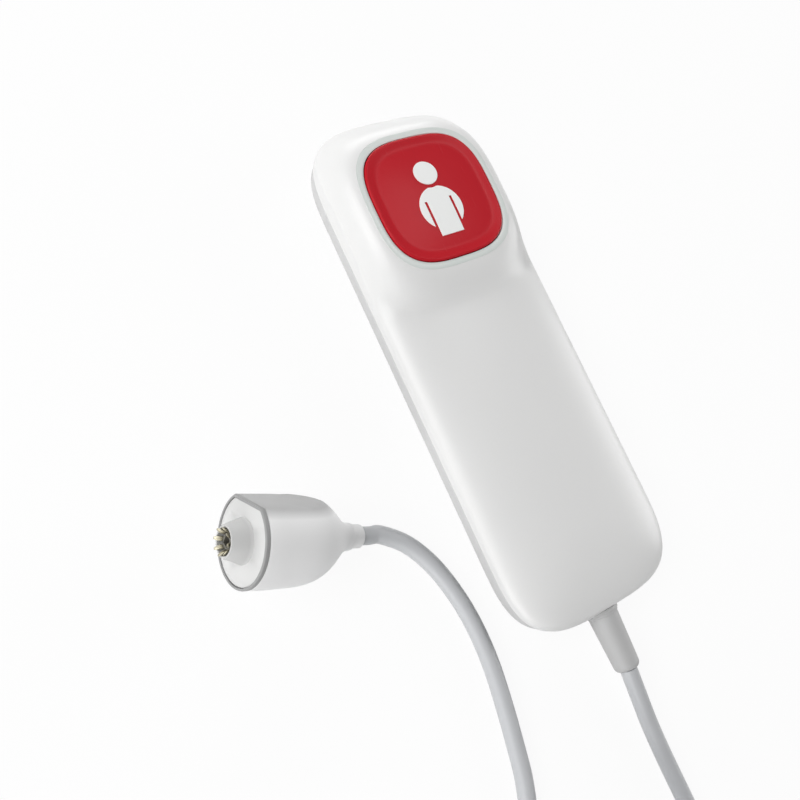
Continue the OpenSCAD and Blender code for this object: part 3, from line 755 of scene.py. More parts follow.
def stage_material(name, strength, tone):
    """White for the camera and for reflections, with a share of lit floor that keeps the shadow."""
    finish = bpy.data.materials.new(name)
    finish.use_nodes = True
    tree = finish.node_tree
    tree.nodes.clear()
    seen = seen_directly(tree)
    lit = tree.nodes.new("ShaderNodeBsdfDiffuse")
    lit.inputs["Color"].default_value = (tone, tone, tone, 1.0)
    white = tree.nodes.new("ShaderNodeEmission")
    both = tree.nodes.new("ShaderNodeMixShader")
    tree.links.new(math_node(tree, "MULTIPLY", seen, strength), both.inputs["Fac"])
    tree.links.new(lit.outputs[0], both.inputs[1])
    tree.links.new(white.outputs[0], both.inputs[2])
    out = tree.nodes.new("ShaderNodeOutputMaterial")
    tree.links.new(both.outputs[0], out.inputs["Surface"])
    return finish


def seen_directly(tree):
    """1 for camera, glossy and transmission rays, and 0 for the rest."""
    path = tree.nodes.new("ShaderNodeLightPath")
    seen = math_node(tree, "MAXIMUM", path.outputs["Is Camera Ray"], path.outputs["Is Glossy Ray"])
    return math_node(tree, "MAXIMUM", seen, path.outputs["Is Transmission Ray"])


def add_lamp(name, power, width, place, aim, lights=True):
    """A square area lamp that points at a place, or one that shows only in reflections."""
    lamp = bpy.data.lights.new(name, "AREA")
    lamp.energy = power
    lamp.size = width
    holder = bpy.data.objects.new(name, lamp)
    holder.location = place
    holder.rotation_euler = (Vector(aim) - Vector(place)).to_track_quat("-Z", "Y").to_euler()
    holder.visible_diffuse = lights
    bpy.context.collection.objects.link(holder)


class HANDSET_OT_stage(bpy.types.Operator):
    """Add the camera, the floor and the lights."""

    bl_idname = "handset.stage"
    bl_label = "Stage"

    LAMPS = (
        ("Left_lamp", "left_power", 0.45, (-0.5, 0.2, 0.5)),
        ("Front_lamp", "front_power", 0.4, (-0.55, -0.35, 0.2)),
        ("Right_lamp", "right_power", 0.4, (0.62, -0.1, 0.15)),
        ("Back_lamp", "back_power", 0.45, (0.2, 0.66, 0.12)),
        ("Tail_lamp", "tail_power", 0.4, (-0.25, -0.62, 0.22)),
    )

    def execute(self, context):
        s = settings("handset_stage")
        camera = bpy.data.cameras.new("Camera")
        camera.lens = s.lens
        camera.sensor_width = 36
        camera.clip_start = 0.005
        holder = bpy.data.objects.new("Camera", camera)
        right, up = Vector(s.camera_right).normalized(), Vector(s.camera_up).normalized()
        back = right.cross(up)
        turn = Matrix((right, up, back)).transposed().to_4x4()
        holder.matrix_world = Matrix.Translation(s.camera_place) @ turn
        context.collection.objects.link(holder)
        context.scene.camera = holder
        context.scene.view_settings.view_transform = "Standard"

        clear_selection()
        bpy.ops.mesh.primitive_plane_add(size=s.floor_w, location=(0, 0, CAD_BOX[0].z - FLOOR_GAP))
        floor = context.object
        floor.name = "Floor"
        floor.data.materials.append(stage_material("Floor_white", s.floor_white, s.floor_tone))

        world = bpy.data.worlds.new("Studio")
        world.use_nodes = True
        context.scene.world = world
        tree = world.node_tree
        light = tree.nodes["Background"]
        even = math_node(tree, "MULTIPLY", seen_directly(tree), 1.0 - s.world_level)
        tree.links.new(math_node(tree, "ADD", even, s.world_level), light.inputs["Strength"])
        light.inputs["Color"].default_value = (1, 1, 1, 1)

        aim = (0, 0, 0.01)
        for name, power, width, place in self.LAMPS:
            add_lamp(name, getattr(s, power), width, place, aim)
        button = (0, BUTTON_Y, CAP_HI.z)
        add_lamp("Soft_box", s.glint_power, 0.14, (0.205, 0.172, 0.456), button, lights=False)
        return {"FINISHED"}


def curve_through(points, steps):
    """Catmull-Rom curve through given points."""
    last = len(points) - 1
    line = []
    for i in range(last):
        a, b = points[max(i - 1, 0)], points[i]
        c, d = points[i + 1], points[min(i + 2, last)]
        for k in range(steps):
            t = k / steps
            square = 2 * a - 5 * b + 4 * c - d
            cube = 3 * b - a - 3 * c + d
            line.append((2 * b + (c - a) * t + square * t * t + cube * t * t * t) / 2)
    return line + [points[last]]


class CordForm:
    """Route of the free cord, from the strain relief through the coil to the plug."""

    STEPS_A_TURN = 36
    LAST_TURN = 160 / 360
    CLIMB_TURN = 0.5
    TIE_ROOM = 0.0003

    def __init__(self):
        self.s = settings("handset_cord")
        self.body = settings("handset_body")
        self.plug = settings("handset_plug")
        self.radius = self.s.diameter / 2
        self.layer_turns = (self.s.loops + self.LAST_TURN) / self.s.layers
        self.pitch = self.s.diameter + self.s.turn_gap
        self.spread = self.layer_turns * self.pitch
        self.coil_out = (self.s.mean_d + self.spread) / 2
        self.coil_z = self.radius + self.s.tie_t + self.TIE_ROOM
        self.centre = Vector((-self.coil_out, self.s.coil_y, 0))

    def exit(self):
        """Where the cord leaves the strain relief."""
        return Vector((0, -self.body.length / 2 - self.body.relief_l, self.body.relief_z))

    def plug_end(self):
        """Where the cord enters the plug's collar."""
        return Vector((self.plug.tail_x, self.plug.tail_y, self.plug.tail_z))

    def coil_point(self, turn):
        """Point of the coil after that many turns, clockwise, climbing a layer at each reversal."""
        layers = self.s.layers
        p = min(turn / self.layer_turns, layers - 0.0001)
        k = int(p)
        share = p - k if k % 2 == 0 else 1 - (p - k)
        r = self.coil_out - self.spread * share
        past = [turn - j * self.layer_turns for j in range(1, layers)]
        climb = sum(fade(t / self.CLIMB_TURN + 0.5) for t in past)
        a = -2 * math.pi * turn
        return self.centre + Vector((r * math.cos(a), r * math.sin(a), self.coil_z + self.pitch * climb))

    def lying(self, *places):
        """Points given as X and Y on the floor, or as X, Y and Z."""
        return [Vector(p if len(p) == 3 else (*p, self.radius)) for p in places]

    def line(self):
        """Centre line of the whole cord."""
        r = self.radius
        out = self.lying(
            (0, -0.080, 0.0032), (0, -0.086, 0.0023), (0, -0.093), (0, -0.101), (0, -0.110), (0, -0.118),
            (0, -0.1218), (0, -0.1252, mix(r, self.coil_z, 0.5)),
        )
        turns = self.layer_turns * self.s.layers
        steps = int(turns * self.STEPS_A_TURN)
        coil = [self.coil_point(turns * i / steps) for i in range(steps + 1)]
        down = self.lying(
            (-0.0614, -0.1274, 0.0146), (-0.062, -0.117, 0.0108), (-0.0586, -0.1076, 0.0066),
            (-0.052, -0.101, 0.0032), (-0.046, -0.0974, 0.002), (-0.0414, -0.095), (-0.038, -0.092),
        )
        to_plug = self.lying(
            (-0.0344, -0.0884), (-0.0316, -0.0814), (-0.030, -0.074), (-0.0286, -0.066), (-0.0276, -0.058),
            (-0.0275, -0.050), (-0.0284, -0.0426), (-0.0304, -0.0354), (-0.0336, -0.0294),
            (-0.038, -0.0252), (-0.04035, -0.02436, 0.00217),
        )
        first = curve_through([self.exit()] + out + coil[:2], 6)
        last = curve_through(coil[-2:] + down + to_plug + [self.plug_end()], 6)
        return first[:-6] + coil[:-1] + last[6:]


class HANDSET_OT_cord(bpy.types.Operator):
    """Lay the free cord from the strain relief through its coil to the plug."""

    bl_idname = "handset.cord"
    bl_label = "Cord"

    def execute(self, context):
        form = CordForm()
        line = form.line()
        curve = bpy.data.curves.new("Cord", "CURVE")
        curve.dimensions = "3D"
        curve.bevel_depth = form.radius
        curve.bevel_resolution = 5
        curve.use_fill_caps = True
        spline = curve.splines.new("POLY")
        spline.points.add(len(line) - 1)
        for point, place in zip(spline.points, line):
            point.co = (*place, 1)
        spline.use_smooth = True
        cord = bpy.data.objects.new("Cord", curve)
        context.collection.objects.link(cord)
        nodes = ("handset_cord", "cord_coil", "plug_cord")
        hand_over(cord, Finishes.of("cord"), "cord_jacket", "housing", *nodes)
        return {"FINISHED"}


def tie_rings(form):
    """Rings of a tie's band, with its length in X and Z and its width along Y."""
    s = form.s
    room = form.radius + form.TIE_ROOM
    slack = 1.06
    half_r = (form.spread / 2 + room) * slack
    half_h = (s.layers - 1) * form.pitch / 2 + room
    edge = 0.0002
    half = s.tie_w / 2
    section = [
        (0, half - edge), (edge, half), (s.tie_t - edge, half), (s.tie_t, half - edge),
        (s.tie_t, edge - half), (s.tie_t - edge, -half), (edge, -half), (0, edge - half),
    ]
    unit = squircle(1, 6, 72)
    rings = [[Vector((x * (half_r + t), y, z * (half_h + t))) for x, z in unit] for t, y in section]
    return rings, half_h


class HANDSET_OT_ties(bpy.types.Operator):
    """Wrap the two ties round the coil."""

    bl_idname = "handset.ties"
    bl_label = "Coil ties"

    def execute(self, context):
        form = CordForm()
        s = form.s
        rings, half_h = tie_rings(form)
        finish = Finishes.tie()
        for i, turn in enumerate((s.tie_angle, s.tie_angle - math.pi), 1):
            band = loft(f"Coil_tie_{i}", rings, looped=True)
            tab = self.tab(f"Tab_{i}", s, half_h)
            join([band, tab])
            place = (
                Matrix.Translation(form.centre + Vector((0, 0, half_h + s.tie_t)))
                @ Matrix.Rotation(turn, 4, "Z")
                @ Matrix.Translation((s.mean_d / 2, 0, 0))
            )
            move_mesh(band, place)
            hand_over(band, finish, "tie_band", "housing", f"coil_tie_{i}")
        return {"FINISHED"}

    def tab(self, name, s, half_h):
        """The band's overlapping end, on top of the coil."""
        length, thick, margin, sunk = 0.011, 0.0008, 0.0004, 0.0001
        tab = slab(name, squircle(1, 5, 40), length / 2, s.tie_w / 2 - margin, thick)
        return move_mesh(tab, Matrix.Translation((0, 0, half_h + s.tie_t - sunk)))


def bosses(name, radius, bore, z0, z1, places):
    """Round bosses with a bore, one at each place."""
    edge = min(0.0002, (radius - bore) / 4)
    profile = [
        (radius, z0), (radius, z1 - edge), (radius - edge, z1),
        (bore + edge, z1), (bore, z1 - edge), (bore, z0),
    ]
    made = [turned(f"{name}_{i}", profile, True, 32) for i in range(len(places))]
    return [move_mesh(post, Matrix.Translation((*at, 0))) for post, at in zip(made, places)]


def at_pairs(x, ys):
    """Places at both sides for each Y."""
    return [(side * x, y) for side in (-1, 1) for y in ys]


CASE_SCREWS = at_pairs(0.0125, (-0.0072, -0.0362))
BOARD_SCREWS = at_pairs(0.0124, (BUTTON_Y + 0.00805, 0.0088))
CLAMP_SCREWS = at_pairs(0.0055, (-0.0495,))


def cord_opening(s):
    """Tool that cuts the strain relief's opening through the tail."""
    radius = s.relief_r + CORD_PLAY
    tool = turned("Opening", [(radius, 0), (radius, s.wall + 0.004)], count=64)
    start = Vector((0, -s.length / 2 + s.wall + 0.002, s.relief_z))
    return move_mesh(tool, Matrix.Translation(start) @ Matrix.Rotation(math.pi / 2, 4, "X"))


class HANDSET_OT_front_shell(bpy.types.Operator):
    """Model the crowned front shell with its raised head and button window."""

    bl_idname = "handset.front_shell"
    bl_label = "Front shell"

    def execute(self, context):
        form = BodyForm()
        s = form.s
        steps, inner_steps = 48, 10
        window = form.facing_squircle(form.ring_out + s.fit)
        brow = form.facing_squircle(form.ring_out + s.fit + s.brow)
        inner_edge = lift(form.outline(s.wall), s.seam_z)
        lower = soft_corner((s.soft, s.seam_z), (0, s.seam_z + s.soft))
        rings = [inner_edge] + [lift(form.outline(inset), z) for inset, z in lower]
        rings += [form.front_ring(0, brow, both_ends(k / steps)) for k in range(steps + 1)]
        for drop in (0.08, 0.3, 0.6, 1.0):
            reach = s.brow * math.sqrt(1 - (1 - drop) ** 2)
            ring = form.facing_squircle(form.ring_out + s.fit + s.brow - reach)
            rings.append(lift(ring, s.head_z - s.brow * drop))
        for k in range(inner_steps + 1):
            rings.append(form.front_ring(s.wall, window, both_ends(1 - k / inner_steps)))
        shell = combine(loft("Front_cover", rings, looped=True), cord_opening(s), "DIFFERENCE")
        roof = min(form.front_z(x, y, s.wall / 2) for x, y in CASE_SCREWS)
        join([shell] + bosses("Post", 0.0027, 0.00115, s.rim_z + s.fit, roof, CASE_SCREWS))
        pick(shell)
        bpy.ops.object.shade_smooth_by_angle(angle=CREASE)
        hand_over(shell, Finishes.of("shell"), "white_shell", "housing", "front_shell")
        return {"FINISHED"}


class HANDSET_OT_rear_shell(bpy.types.Operator):
    """Model the rear shell with its rounded back, screw pockets and cord opening."""

    bl_idname = "handset.rear_shell"
    bl_label = "Rear shell"

    def execute(self, context):
        form = BodyForm()
        s = form.s
        floor_edge, back_steps = 0.001, 12
        rings = []
        for k in range(back_steps + 1):
            a = math.pi / 2 * k / back_steps
            inset = s.rear_inset + s.back_r * (1 - math.sin(a))
            rings.append(lift(form.outline(inset), s.back_r * (1 - math.cos(a))))
        upper = soft_corner((s.rear_inset, s.rim_z - s.soft), (s.rear_inset + s.soft, s.rim_z))
        rings += [lift(form.outline(inset), z) for inset, z in upper]
        rings += [
            lift(form.outline(s.wall), s.rim_z), lift(form.outline(s.wall), s.wall + floor_edge),
            lift(form.outline(s.wall + floor_edge), s.wall),
        ]
        shell = loft("Rear_cover", rings)
        combine(shell, self.cutters(s), "DIFFERENCE")
        base = s.wall - s.fit
        board_z, clamp_z, pilot = 0.0044, 0.0038, 0.00095
        posts = bosses("Screw_post", 0.003, 0.00125, base, s.rim_z, CASE_SCREWS)
        posts += bosses("Stand", 0.0024, pilot, base, board_z, BOARD_SCREWS)
        posts += bosses("Clamp", 0.0022, pilot, base, clamp_z, CLAMP_SCREWS)
        join([shell] + posts)
        pick(shell)
        bpy.ops.object.shade_smooth_by_angle(angle=CREASE)
        hand_over(shell, Finishes.of("back"), "grey_shell", "housing", "rear_shell")
        return {"FINISHED"}

    def cutters(self, s):
        """Screw pockets and the cord's opening, as one tool."""
        pocket_r, hole_r, edge = 0.0025, 0.00125, 0.0003
        profile = [
            (pocket_r + 2 * edge, -edge), (pocket_r, edge), (pocket_r, s.wall - s.fit / 2),
            (hole_r, s.wall - s.fit / 2), (hole_r, s.rim_z + edge),
        ]
        tools = []
        for i, at in enumerate(CASE_SCREWS):
            tools.append(move_mesh(turned(f"Pocket_{i}", profile, count=48), Matrix.Translation((*at, 0))))
        return join(tools + [cord_opening(s)])


class HANDSET_OT_strain_relief(bpy.types.Operator):
    """Model the strain relief that carries the cord out of the tail."""

    bl_idname = "handset.strain_relief"
    bl_label = "Strain relief"

    def execute(self, context):
        s = settings("handset_body")
        bore = settings("handset_cord").diameter / 2 + CORD_PLAY
        start = s.wall + 0.0017
        end = start + s.relief_l
        root, body_end, nose = start + 0.0017, end - 0.0012, 0.0007
        flare, edge, flare_end = s.relief_flare_r, 0.0002, start + 0.0011
        profile = [(bore, 0.0), (s.relief_r, 0.0), (s.relief_r, start + s.fit)]
        profile += soft_corner((flare - edge, start + s.fit), (flare, start + 0.0003))
        profile.append((flare, flare_end - 0.0003))
        profile += soft_corner((flare, flare_end - edge), (flare - edge, flare_end))
        profile += soft_corner((s.relief_root_r + 0.00025, flare_end), (s.relief_root_r, root))
        profile += [
            (mix(s.relief_root_r, s.relief_end_r, k / 8), mix(root, body_end, k / 8)) for k in range(1, 9)
        ]
        for k in range(1, 9):
            a = math.pi / 2 * k / 8
            profile.append((s.relief_end_r - nose * (1 - math.cos(a)), mix(body_end, end, math.sin(a))))
        profile.append((bore, end))
        relief = turned("Strain_relief", profile, looped=True, count=80)
        plate = self.plate(s)
        join([relief, plate])
        place = Matrix.Translation((0, -s.length / 2 + start, s.relief_z))
        move_mesh(relief, place @ Matrix.Rotation(math.pi / 2, 4, "X"))
        hand_over(relief, Finishes.of("relief"), "grey_rubber", "housing", "strain_relief")
        return {"FINISHED"}

    def plate(self, s):
        """The plate that holds the relief behind the wall."""
        low, high, thick, half = 0.0031, s.relief_z + s.relief_r + 0.0003, 0.0016, 0.004
        plate = slab("Plate", squircle(1, 12, 64), half, (high - low) / 2, thick)
        return move_mesh(plate, Matrix.Translation((0, (low + high) / 2 - s.relief_z, 0)))


class HANDSET_OT_call_button(bpy.types.Operator):
    """Model the light ring, the call button, its figure and the return dome."""

    bl_idname = "handset.call_button"
    bl_label = "Call button"

    COUNT = 144

    def execute(self, context):
        self.s = settings("handset_button")
        self.half = self.s.width / 2
        self.ring()
        self.cap()
        self.figure()
        self.dome()
        return {"FINISHED"}

    def level(self, half, z):
        """A squircle ring round the button's centre."""
        return [Vector((x, y + BUTTON_Y, z)) for x, y in squircle(half, self.s.power, self.COUNT)]

    def ring(self):
        """The milky ring round the button, with its flange inside the head."""
        s = self.s
        outer, inner = self.half + s.ring_w, self.half + s.gap
        flange = RING_HI.x
        flange_top = RING_LO.z + s.flange_t
        top = RING_HI.z
        lip = inner - 0.00013
        profile = [
            (inner, RING_LO.z), (flange, RING_LO.z), (flange, flange_top), (outer, flange_top),
            (outer, top - 0.0006), (outer + 0.00012, top - 0.0005), (outer + 0.00012, top - 0.00018),
            (outer + 0.0001, top - 0.0001), (outer - 0.0001, top - 0.00005), (outer - 0.0004, top),
            (lip + 0.00015, top), (lip + 0.00004, top - 0.00004), (lip, top - 0.00012),
            (lip, top - 0.0005), (inner, top - 0.0008),
        ]
        ring = loft("Light_ring", [self.level(h, z) for h, z in profile], looped=True)
        hand_over(ring, Finishes.of("ring"), "ring_clear", "housing", "light_ring")

    def cap(self):
        """The red cap with its bevelled border and pillowed middle."""
        s = self.s
        top = CAP_HI.z
        play, post_z = 0.0003, DOME_LO.z + 0.0038
        lip_top = RING_LO.z - play
        lip_low = lip_top - s.lip_t
        ceiling = top - s.dish - s.wall
        skirt = self.half - s.wall
        crest, drop = 0.00045, 0.0003
        profile = [
            (skirt, ceiling), (skirt, lip_low), (self.half + s.lip_w, lip_low),
            (self.half + s.lip_w, lip_top), (self.half, lip_top), (self.half, top - drop),
        ]
        profile += soft_corner((self.half, top - drop), (self.half - crest, top), 7)[1:]
        bevel = s.border_w - crest
        panel = self.half - s.border_w
        for k in range(1, 17):
            t = k / 10
            half = self.half - crest - bevel * t
            profile.append((half, top - s.dish * self.slope(t) + self.rise(min(half / panel, 1))))
        for share in (0.75, 0.7, 0.6, 0.5, 0.4, 0.3, 0.2, 0.1, 0.03):
            profile.append((panel * share, top - s.dish + self.rise(share)))
        cap = loft("Button_cap", [self.level(h, z) for h, z in profile])
        post = turned("Post", [(s.post_r, post_z), (s.post_r, ceiling + 0.0002)], count=48)
        move_mesh(post, Matrix.Translation((0, BUTTON_Y, 0)))
        join([cap, post])
        hand_over(cap, Finishes.of("button"), "red_button", "button", "button_cap")

    def slope(self, t):
        """Fall of the border at a share of its width, rounded where it meets the middle."""
        straight = 0.6
        level = 2 - straight
        return t if t < straight else 1 - max(level - t, 0) ** 2 / (4 * (1 - straight))

    def rise(self, share):
        """Height of the pillowed middle over its edge, at a share of its half width."""
        return self.s.pillow * (1 - share ** 2)

    def figure(self):
        """The plain standing figure, inlaid in the pillowed middle."""
        s = self.s
        r, z = s.figure_r, CAP_HI.z - s.dish
        head_y, arm_y, arm_r, neck_r = 1.93 * r, -1.11 * r, 1.84 * r, 1.31 * r
        torso, foot, slit = r, -3.32 * r, 0.235 * r
        apart = head_y - arm_y
        along = (apart ** 2 + arm_r ** 2 - neck_r ** 2) / (2 * apart)
        across = math.sqrt(arm_r ** 2 - along ** 2)
        hand = -math.acos((torso + slit) / arm_r)
        shoulder = math.atan2(along, across)
        side = [(torso, foot), (torso, arm_y / 3), (torso + slit, arm_y / 3)]
        for k in range(33):
            a = mix(hand, shoulder, k / 32)
            side.append((arm_r * math.cos(a), arm_y + arm_r * math.sin(a)))
        nape = (0, head_y - neck_r)
        outline = side + [nape] + [(-x, y) for x, y in side[::-1]]
        body = loft("Button_figure", [lift(outline, z), lift(outline, z + s.inlay_t)])
        head = [(x, y + head_y) for x, y in squircle(r, 2, 72)]
        figure = join([body, loft("Figure_head", [lift(head, z), lift(head, z + s.inlay_t)])])
        edge, cell, cells = 0.00005, 0.0011, 8
        soften(figure, edge)
        grid_cut(figure, cell, cells)
        panel = self.half - s.border_w
        for vertex in figure.data.vertices:
            x, y = abs(vertex.co.x) / panel, abs(vertex.co.y) / panel
            vertex.co.z += self.rise((x ** s.power + y ** s.power) ** (1 / s.power))
        move_mesh(figure, Matrix.Translation((0, BUTTON_Y, 0)))
        hand_over(figure, Finishes.of("figure"), "white_figure", "button", "button_symbol")

    def dome(self):
        """The silicone dome that returns the button."""
        foot_w, foot_t, top_w, thick = 0.002, 0.0008, 0.002, 0.0009
        foot_r, top_r = DOME_HI.x, 0.0064
        low, high = DOME_LO.z, DOME_HI.z
        foot_in, top_in = foot_r - foot_w, top_r - top_w
        profile = [
            (foot_in, low), (foot_r - 0.0001, low), (foot_r, low + 0.0001), (foot_r, low + foot_t),
            (foot_in + thick, low + foot_t), (mix(foot_in + thick, top_r, 0.5), mix(low, high, 0.52)),
            (top_r, high - foot_t), (top_r, high - 0.0001), (top_r - 0.0001, high), (top_in, high),
            (top_in, high - foot_t), (top_r - thick, high - foot_t), (foot_in, low + foot_t),
        ]
        dome = turned("Button_dome", profile, looped=True, count=72)
        move_mesh(dome, Matrix.Translation((0, BUTTON_Y, 0)))
        finish = Finishes.plastic("Dome_silicone", (0.6, 0.6, 0.59), 0.6, 0.04, 0.06)
        hand_over(dome, finish, "silicone", "housing", "button_dome")
        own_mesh(dome)


class HANDSET_OT_plug(bpy.types.Operator):
    """Model the bell-shaped plug with its rim, nose, contact fingers and collar."""

    bl_idname = "handset.plug"
    bl_label = "Plug"

    FINGERS = 8

    def execute(self, context):
        p = self.s = settings("handset_plug")
        self.bell_end = -p.rim_t - p.bell_l
        self.length = p.bell_l + p.rim_t + p.collar_l
        self.bore = settings("handset_cord").diameter / 2 + CORD_PLAY
        self.stem_z = -p.rim_t - p.stem_l
        self.tip_z = p.nose_h - p.face_drop
        self.place = (
            Matrix.Translation((p.tail_x, p.tail_y, p.tail_z))
            @ Matrix.Rotation(p.heading, 4, "Z")
            @ Matrix.Rotation(math.pi / 2 - p.tilt, 4, "Y")
            @ Matrix.Translation((0, 0, self.length))
        )
        self.shell()
        self.rim()
        self.insert()
        self.core()
        self.fingers()
        self.collar()
        return {"FINISHED"}

    def flat_out(self):
        """The direction that the plug's flat faces, before the plug is laid down."""
        return Vector((math.cos(self.s.flat_angle), math.sin(self.s.flat_angle), 0))

    def cut_flat(self, piece, inset=0.0):
        """Cuts the plug's flat, or one that far inside it, and fills the cut."""
        out = self.flat_out()
        pick(piece)
        bpy.ops.object.mode_set(mode="EDIT")
        bpy.ops.mesh.select_all(action="SELECT")
        reach = self.s.flat_r - inset
        bpy.ops.mesh.bisect(plane_co=out * reach, plane_no=out, use_fill=True, clear_outer=True)
        close_mesh()
        return piece

    def put(self, piece, finish, slot, *nodes):
        """Lays a piece of the plug where the plug lies."""
        move_mesh(piece, self.place)
        return hand_over(piece, finish, slot, "housing", *nodes)

    def shell(self):
        """The bell."""
        p = self.s
        steps = 48
        edge = 0.0003
        front = -p.rim_t - edge
        profile = soft_corner((p.front_r, front), (p.front_r - edge, -p.rim_t))[::-1]
        for k in range(1, 7):
            t = k / 6
            profile.append((mix(p.front_r, p.bell_r, math.sin(t * math.pi / 2)), mix(front, -p.swell, t)))
        for k in range(1, steps + 1):
            t = k / steps
            r = p.neck_r + (p.bell_r - p.neck_r) * (1 - t ** p.bulge) ** p.taper
            profile.append((r, mix(-p.swell, self.bell_end, t)))
        taper, throat = 0.55 * self.bell_end, 0.85 * self.bell_end
        profile += [
            (self.bore, self.bell_end), (self.bore, throat), (self.bore + 0.00055, throat),
            (p.cavity_r, taper), (p.cavity_r, -p.rim_t),
        ]
        shell = turned("Plug_bell", profile, looped=True, count=128)
        self.cut_flat(shell)
        soften(shell, 0.00025, 3)
        out = self.flat_out()
        # The bell's finish carries painted shade on the flat.
        finish = Finishes.bell(self.place @ (out * p.flat_r), self.place.to_3x3() @ out)
        self.put(shell, finish, "plug_white", "plug_shell")

    def rim(self):
        """The thin grey rim round the face."""
        p = self.s
        edge = 0.00025
        profile = [(p.front_r, -p.rim_t)] + soft_corner((p.front_r, -edge), (p.front_r - edge, 0))
        rim = turned("Plug_rim", profile, count=128)
        self.cut_flat(rim)
        bore = p.front_r - p.rim_w
        inner = turned("Inner", [(bore, -2 * p.rim_t), (bore, p.rim_t)], count=128)
        combine(rim, self.cut_flat(inner, p.rim_w), "DIFFERENCE")
        soften(rim, 0.0001)
        self.put(rim, Finishes.of("rim"), "plug_grey", "plug_rim")

    def insert(self):
        """The white face with its tapered nose."""
        p = self.s
        face_r = p.front_r - p.rim_w - 0.0001
        face = turned("Plug_insert", [(face_r, -p.rim_t), (face_r, -p.face_drop)], count=128)
        self.cut_flat(face, p.rim_w + 0.0001)
        soften(face, 0.0001)
        hole = turned("Hole", [(p.bore_r, -0.01), (p.bore_r, 0.01)], count=64)
        combine(face, hole, "DIFFERENCE")
        tip = 0.0003
        stem_r = p.cavity_r - 0.0001
        profile = [
            (p.bore_r, self.stem_z), (stem_r, self.stem_z), (stem_r, -p.rim_t), (p.nose_r, -p.rim_t),
            (p.nose_r, -p.face_drop), (p.tip_r + 0.0001, self.tip_z - tip),
        ]
        profile += soft_corner((p.tip_r, self.tip_z - tip * 0.6), (p.tip_r - 0.0002, self.tip_z))
        profile += [(p.bore_r + 0.0001, self.tip_z), (p.bore_r, self.tip_z - 0.0001)]
        nose = turned("Nose", profile, looped=True, count=96)
        insert = join([face, nose])
        root = self.place @ Vector((0, 0, 0.0007 - p.face_drop))
        # The insert's finish carries painted shade on the nose.
        finish = Finishes.face(root, self.place.to_3x3() @ Vector((0, 0, 1)))
        self.put(insert, finish, "plug_face", "plug_insert")

    def core(self):
        """The dark core with its socket, inside the ring of fingers."""
        p = self.s
        top = self.tip_z - 0.0006
        edge, back, socket_r, socket_l = 0.00015, -0.009, 0.00115, 0.0025
        profile = [
            (p.nose_r, back), (p.nose_r, self.stem_z), (p.core_r, self.stem_z), (p.core_r, top - edge),
            (p.core_r - edge, top),
        ]
        socket = turned("Socket", [(socket_r, top - socket_l), (socket_r, top + 0.001)], count=4)
        core = combine(turned("Nose_core", profile, count=48), socket, "DIFFERENCE")
        bpy.ops.object.shade_smooth_by_angle(angle=CREASE)
        finish = Finishes.plastic("Core_brown", (0.11, 0.105, 0.09), 0.5, 0.1, 0.08)
        self.put(core, finish, "black_plastic", "nose_core")

    def finger_rings(self):
        """Rings of one thin sprung finger, whose tip hooks outwards over the nose."""
        p = self.s
        inner = p.core_r + 0.00035
        top = self.tip_z + p.finger_up
        bend_from, hook, thinned, thick = 0.82, 0.00065, 0.45, 0.00044
        shares = (0, 0.3, 0.6, 0.78, 0.86, 0.91, 0.95, 0.98, 1)
        rings = []
        for share in shares:
            bend = max(share - bend_from, 0) / (1 - bend_from)
            centre = inner + hook * bend ** 2
            girth = 1 - thinned * bend ** 4
            half_t, half_w = thick / 2 * girth, p.finger_w / 2 * girth
            z = mix(self.stem_z, top, share)
            rings.append([Vector((centre + x * half_t, y * half_w, z)) for x, y in squircle(1, 5, 24)])
        return rings

    def fingers(self):
        """The ring of contact fingers."""
        first = loft("Contact_1", self.finger_rings())
        fingers = [first] + [copy_piece(first, f"Contact_{i}") for i in range(2, self.FINGERS + 1)]
        for i, finger in enumerate(fingers):
            move_mesh(finger, Matrix.Rotation(2 * math.pi * (i + 0.5) / self.FINGERS, 4, "Z"))
            self.put(finger, Finishes.of("brass"), "contact_brass", f"contact_{i + 1}")

    def collar(self):
        """The short collar where the cord enters."""
        p = self.s
        end = self.bell_end - p.collar_l
        swell, sweep, edge = 0.0004, 0.0016, 0.0003
        profile = [(self.bore, self.bell_end), (p.collar_r + swell, self.bell_end)]
        for k in range(1, 7):
            t = k / 6
            profile.append((p.collar_r + swell * (1 - fade(t)), self.bell_end - sweep * t))
        profile += soft_corner((p.collar_r, end + edge), (p.collar_r - edge, end), 6)
        profile.append((self.bore, end))
        collar = turned("Plug_collar", profile, looped=True, count=80)
        self.put(collar, Finishes.of("plug"), "plug_white", "plug_collar")


class HANDSET_OT_cord_facts(bpy.types.Operator):
    """Looks up the free cord's route and the pieces on it, and does nothing more with them."""

    bl_idname = "handset.cord_facts"
    bl_label = "Cord facts"

    def execute(self, context):
        form = CordForm()
        names = ["Strain_relief", "Coil_tie_1", "Coil_tie_2", "Plug_bell", "Plug_rim", "Plug_insert"]
        fingers = [f"Contact_{i}" for i in range(1, HANDSET_OT_plug.FINGERS + 1)]
        names += ["Nose_core"] + fingers + ["Plug_collar"]
        pieces = [bpy.data.objects[name] for name in names]
        pieces += [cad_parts[name] for name in ("plug_cord_end", "plug_crimp")]
        return {"FINISHED"}


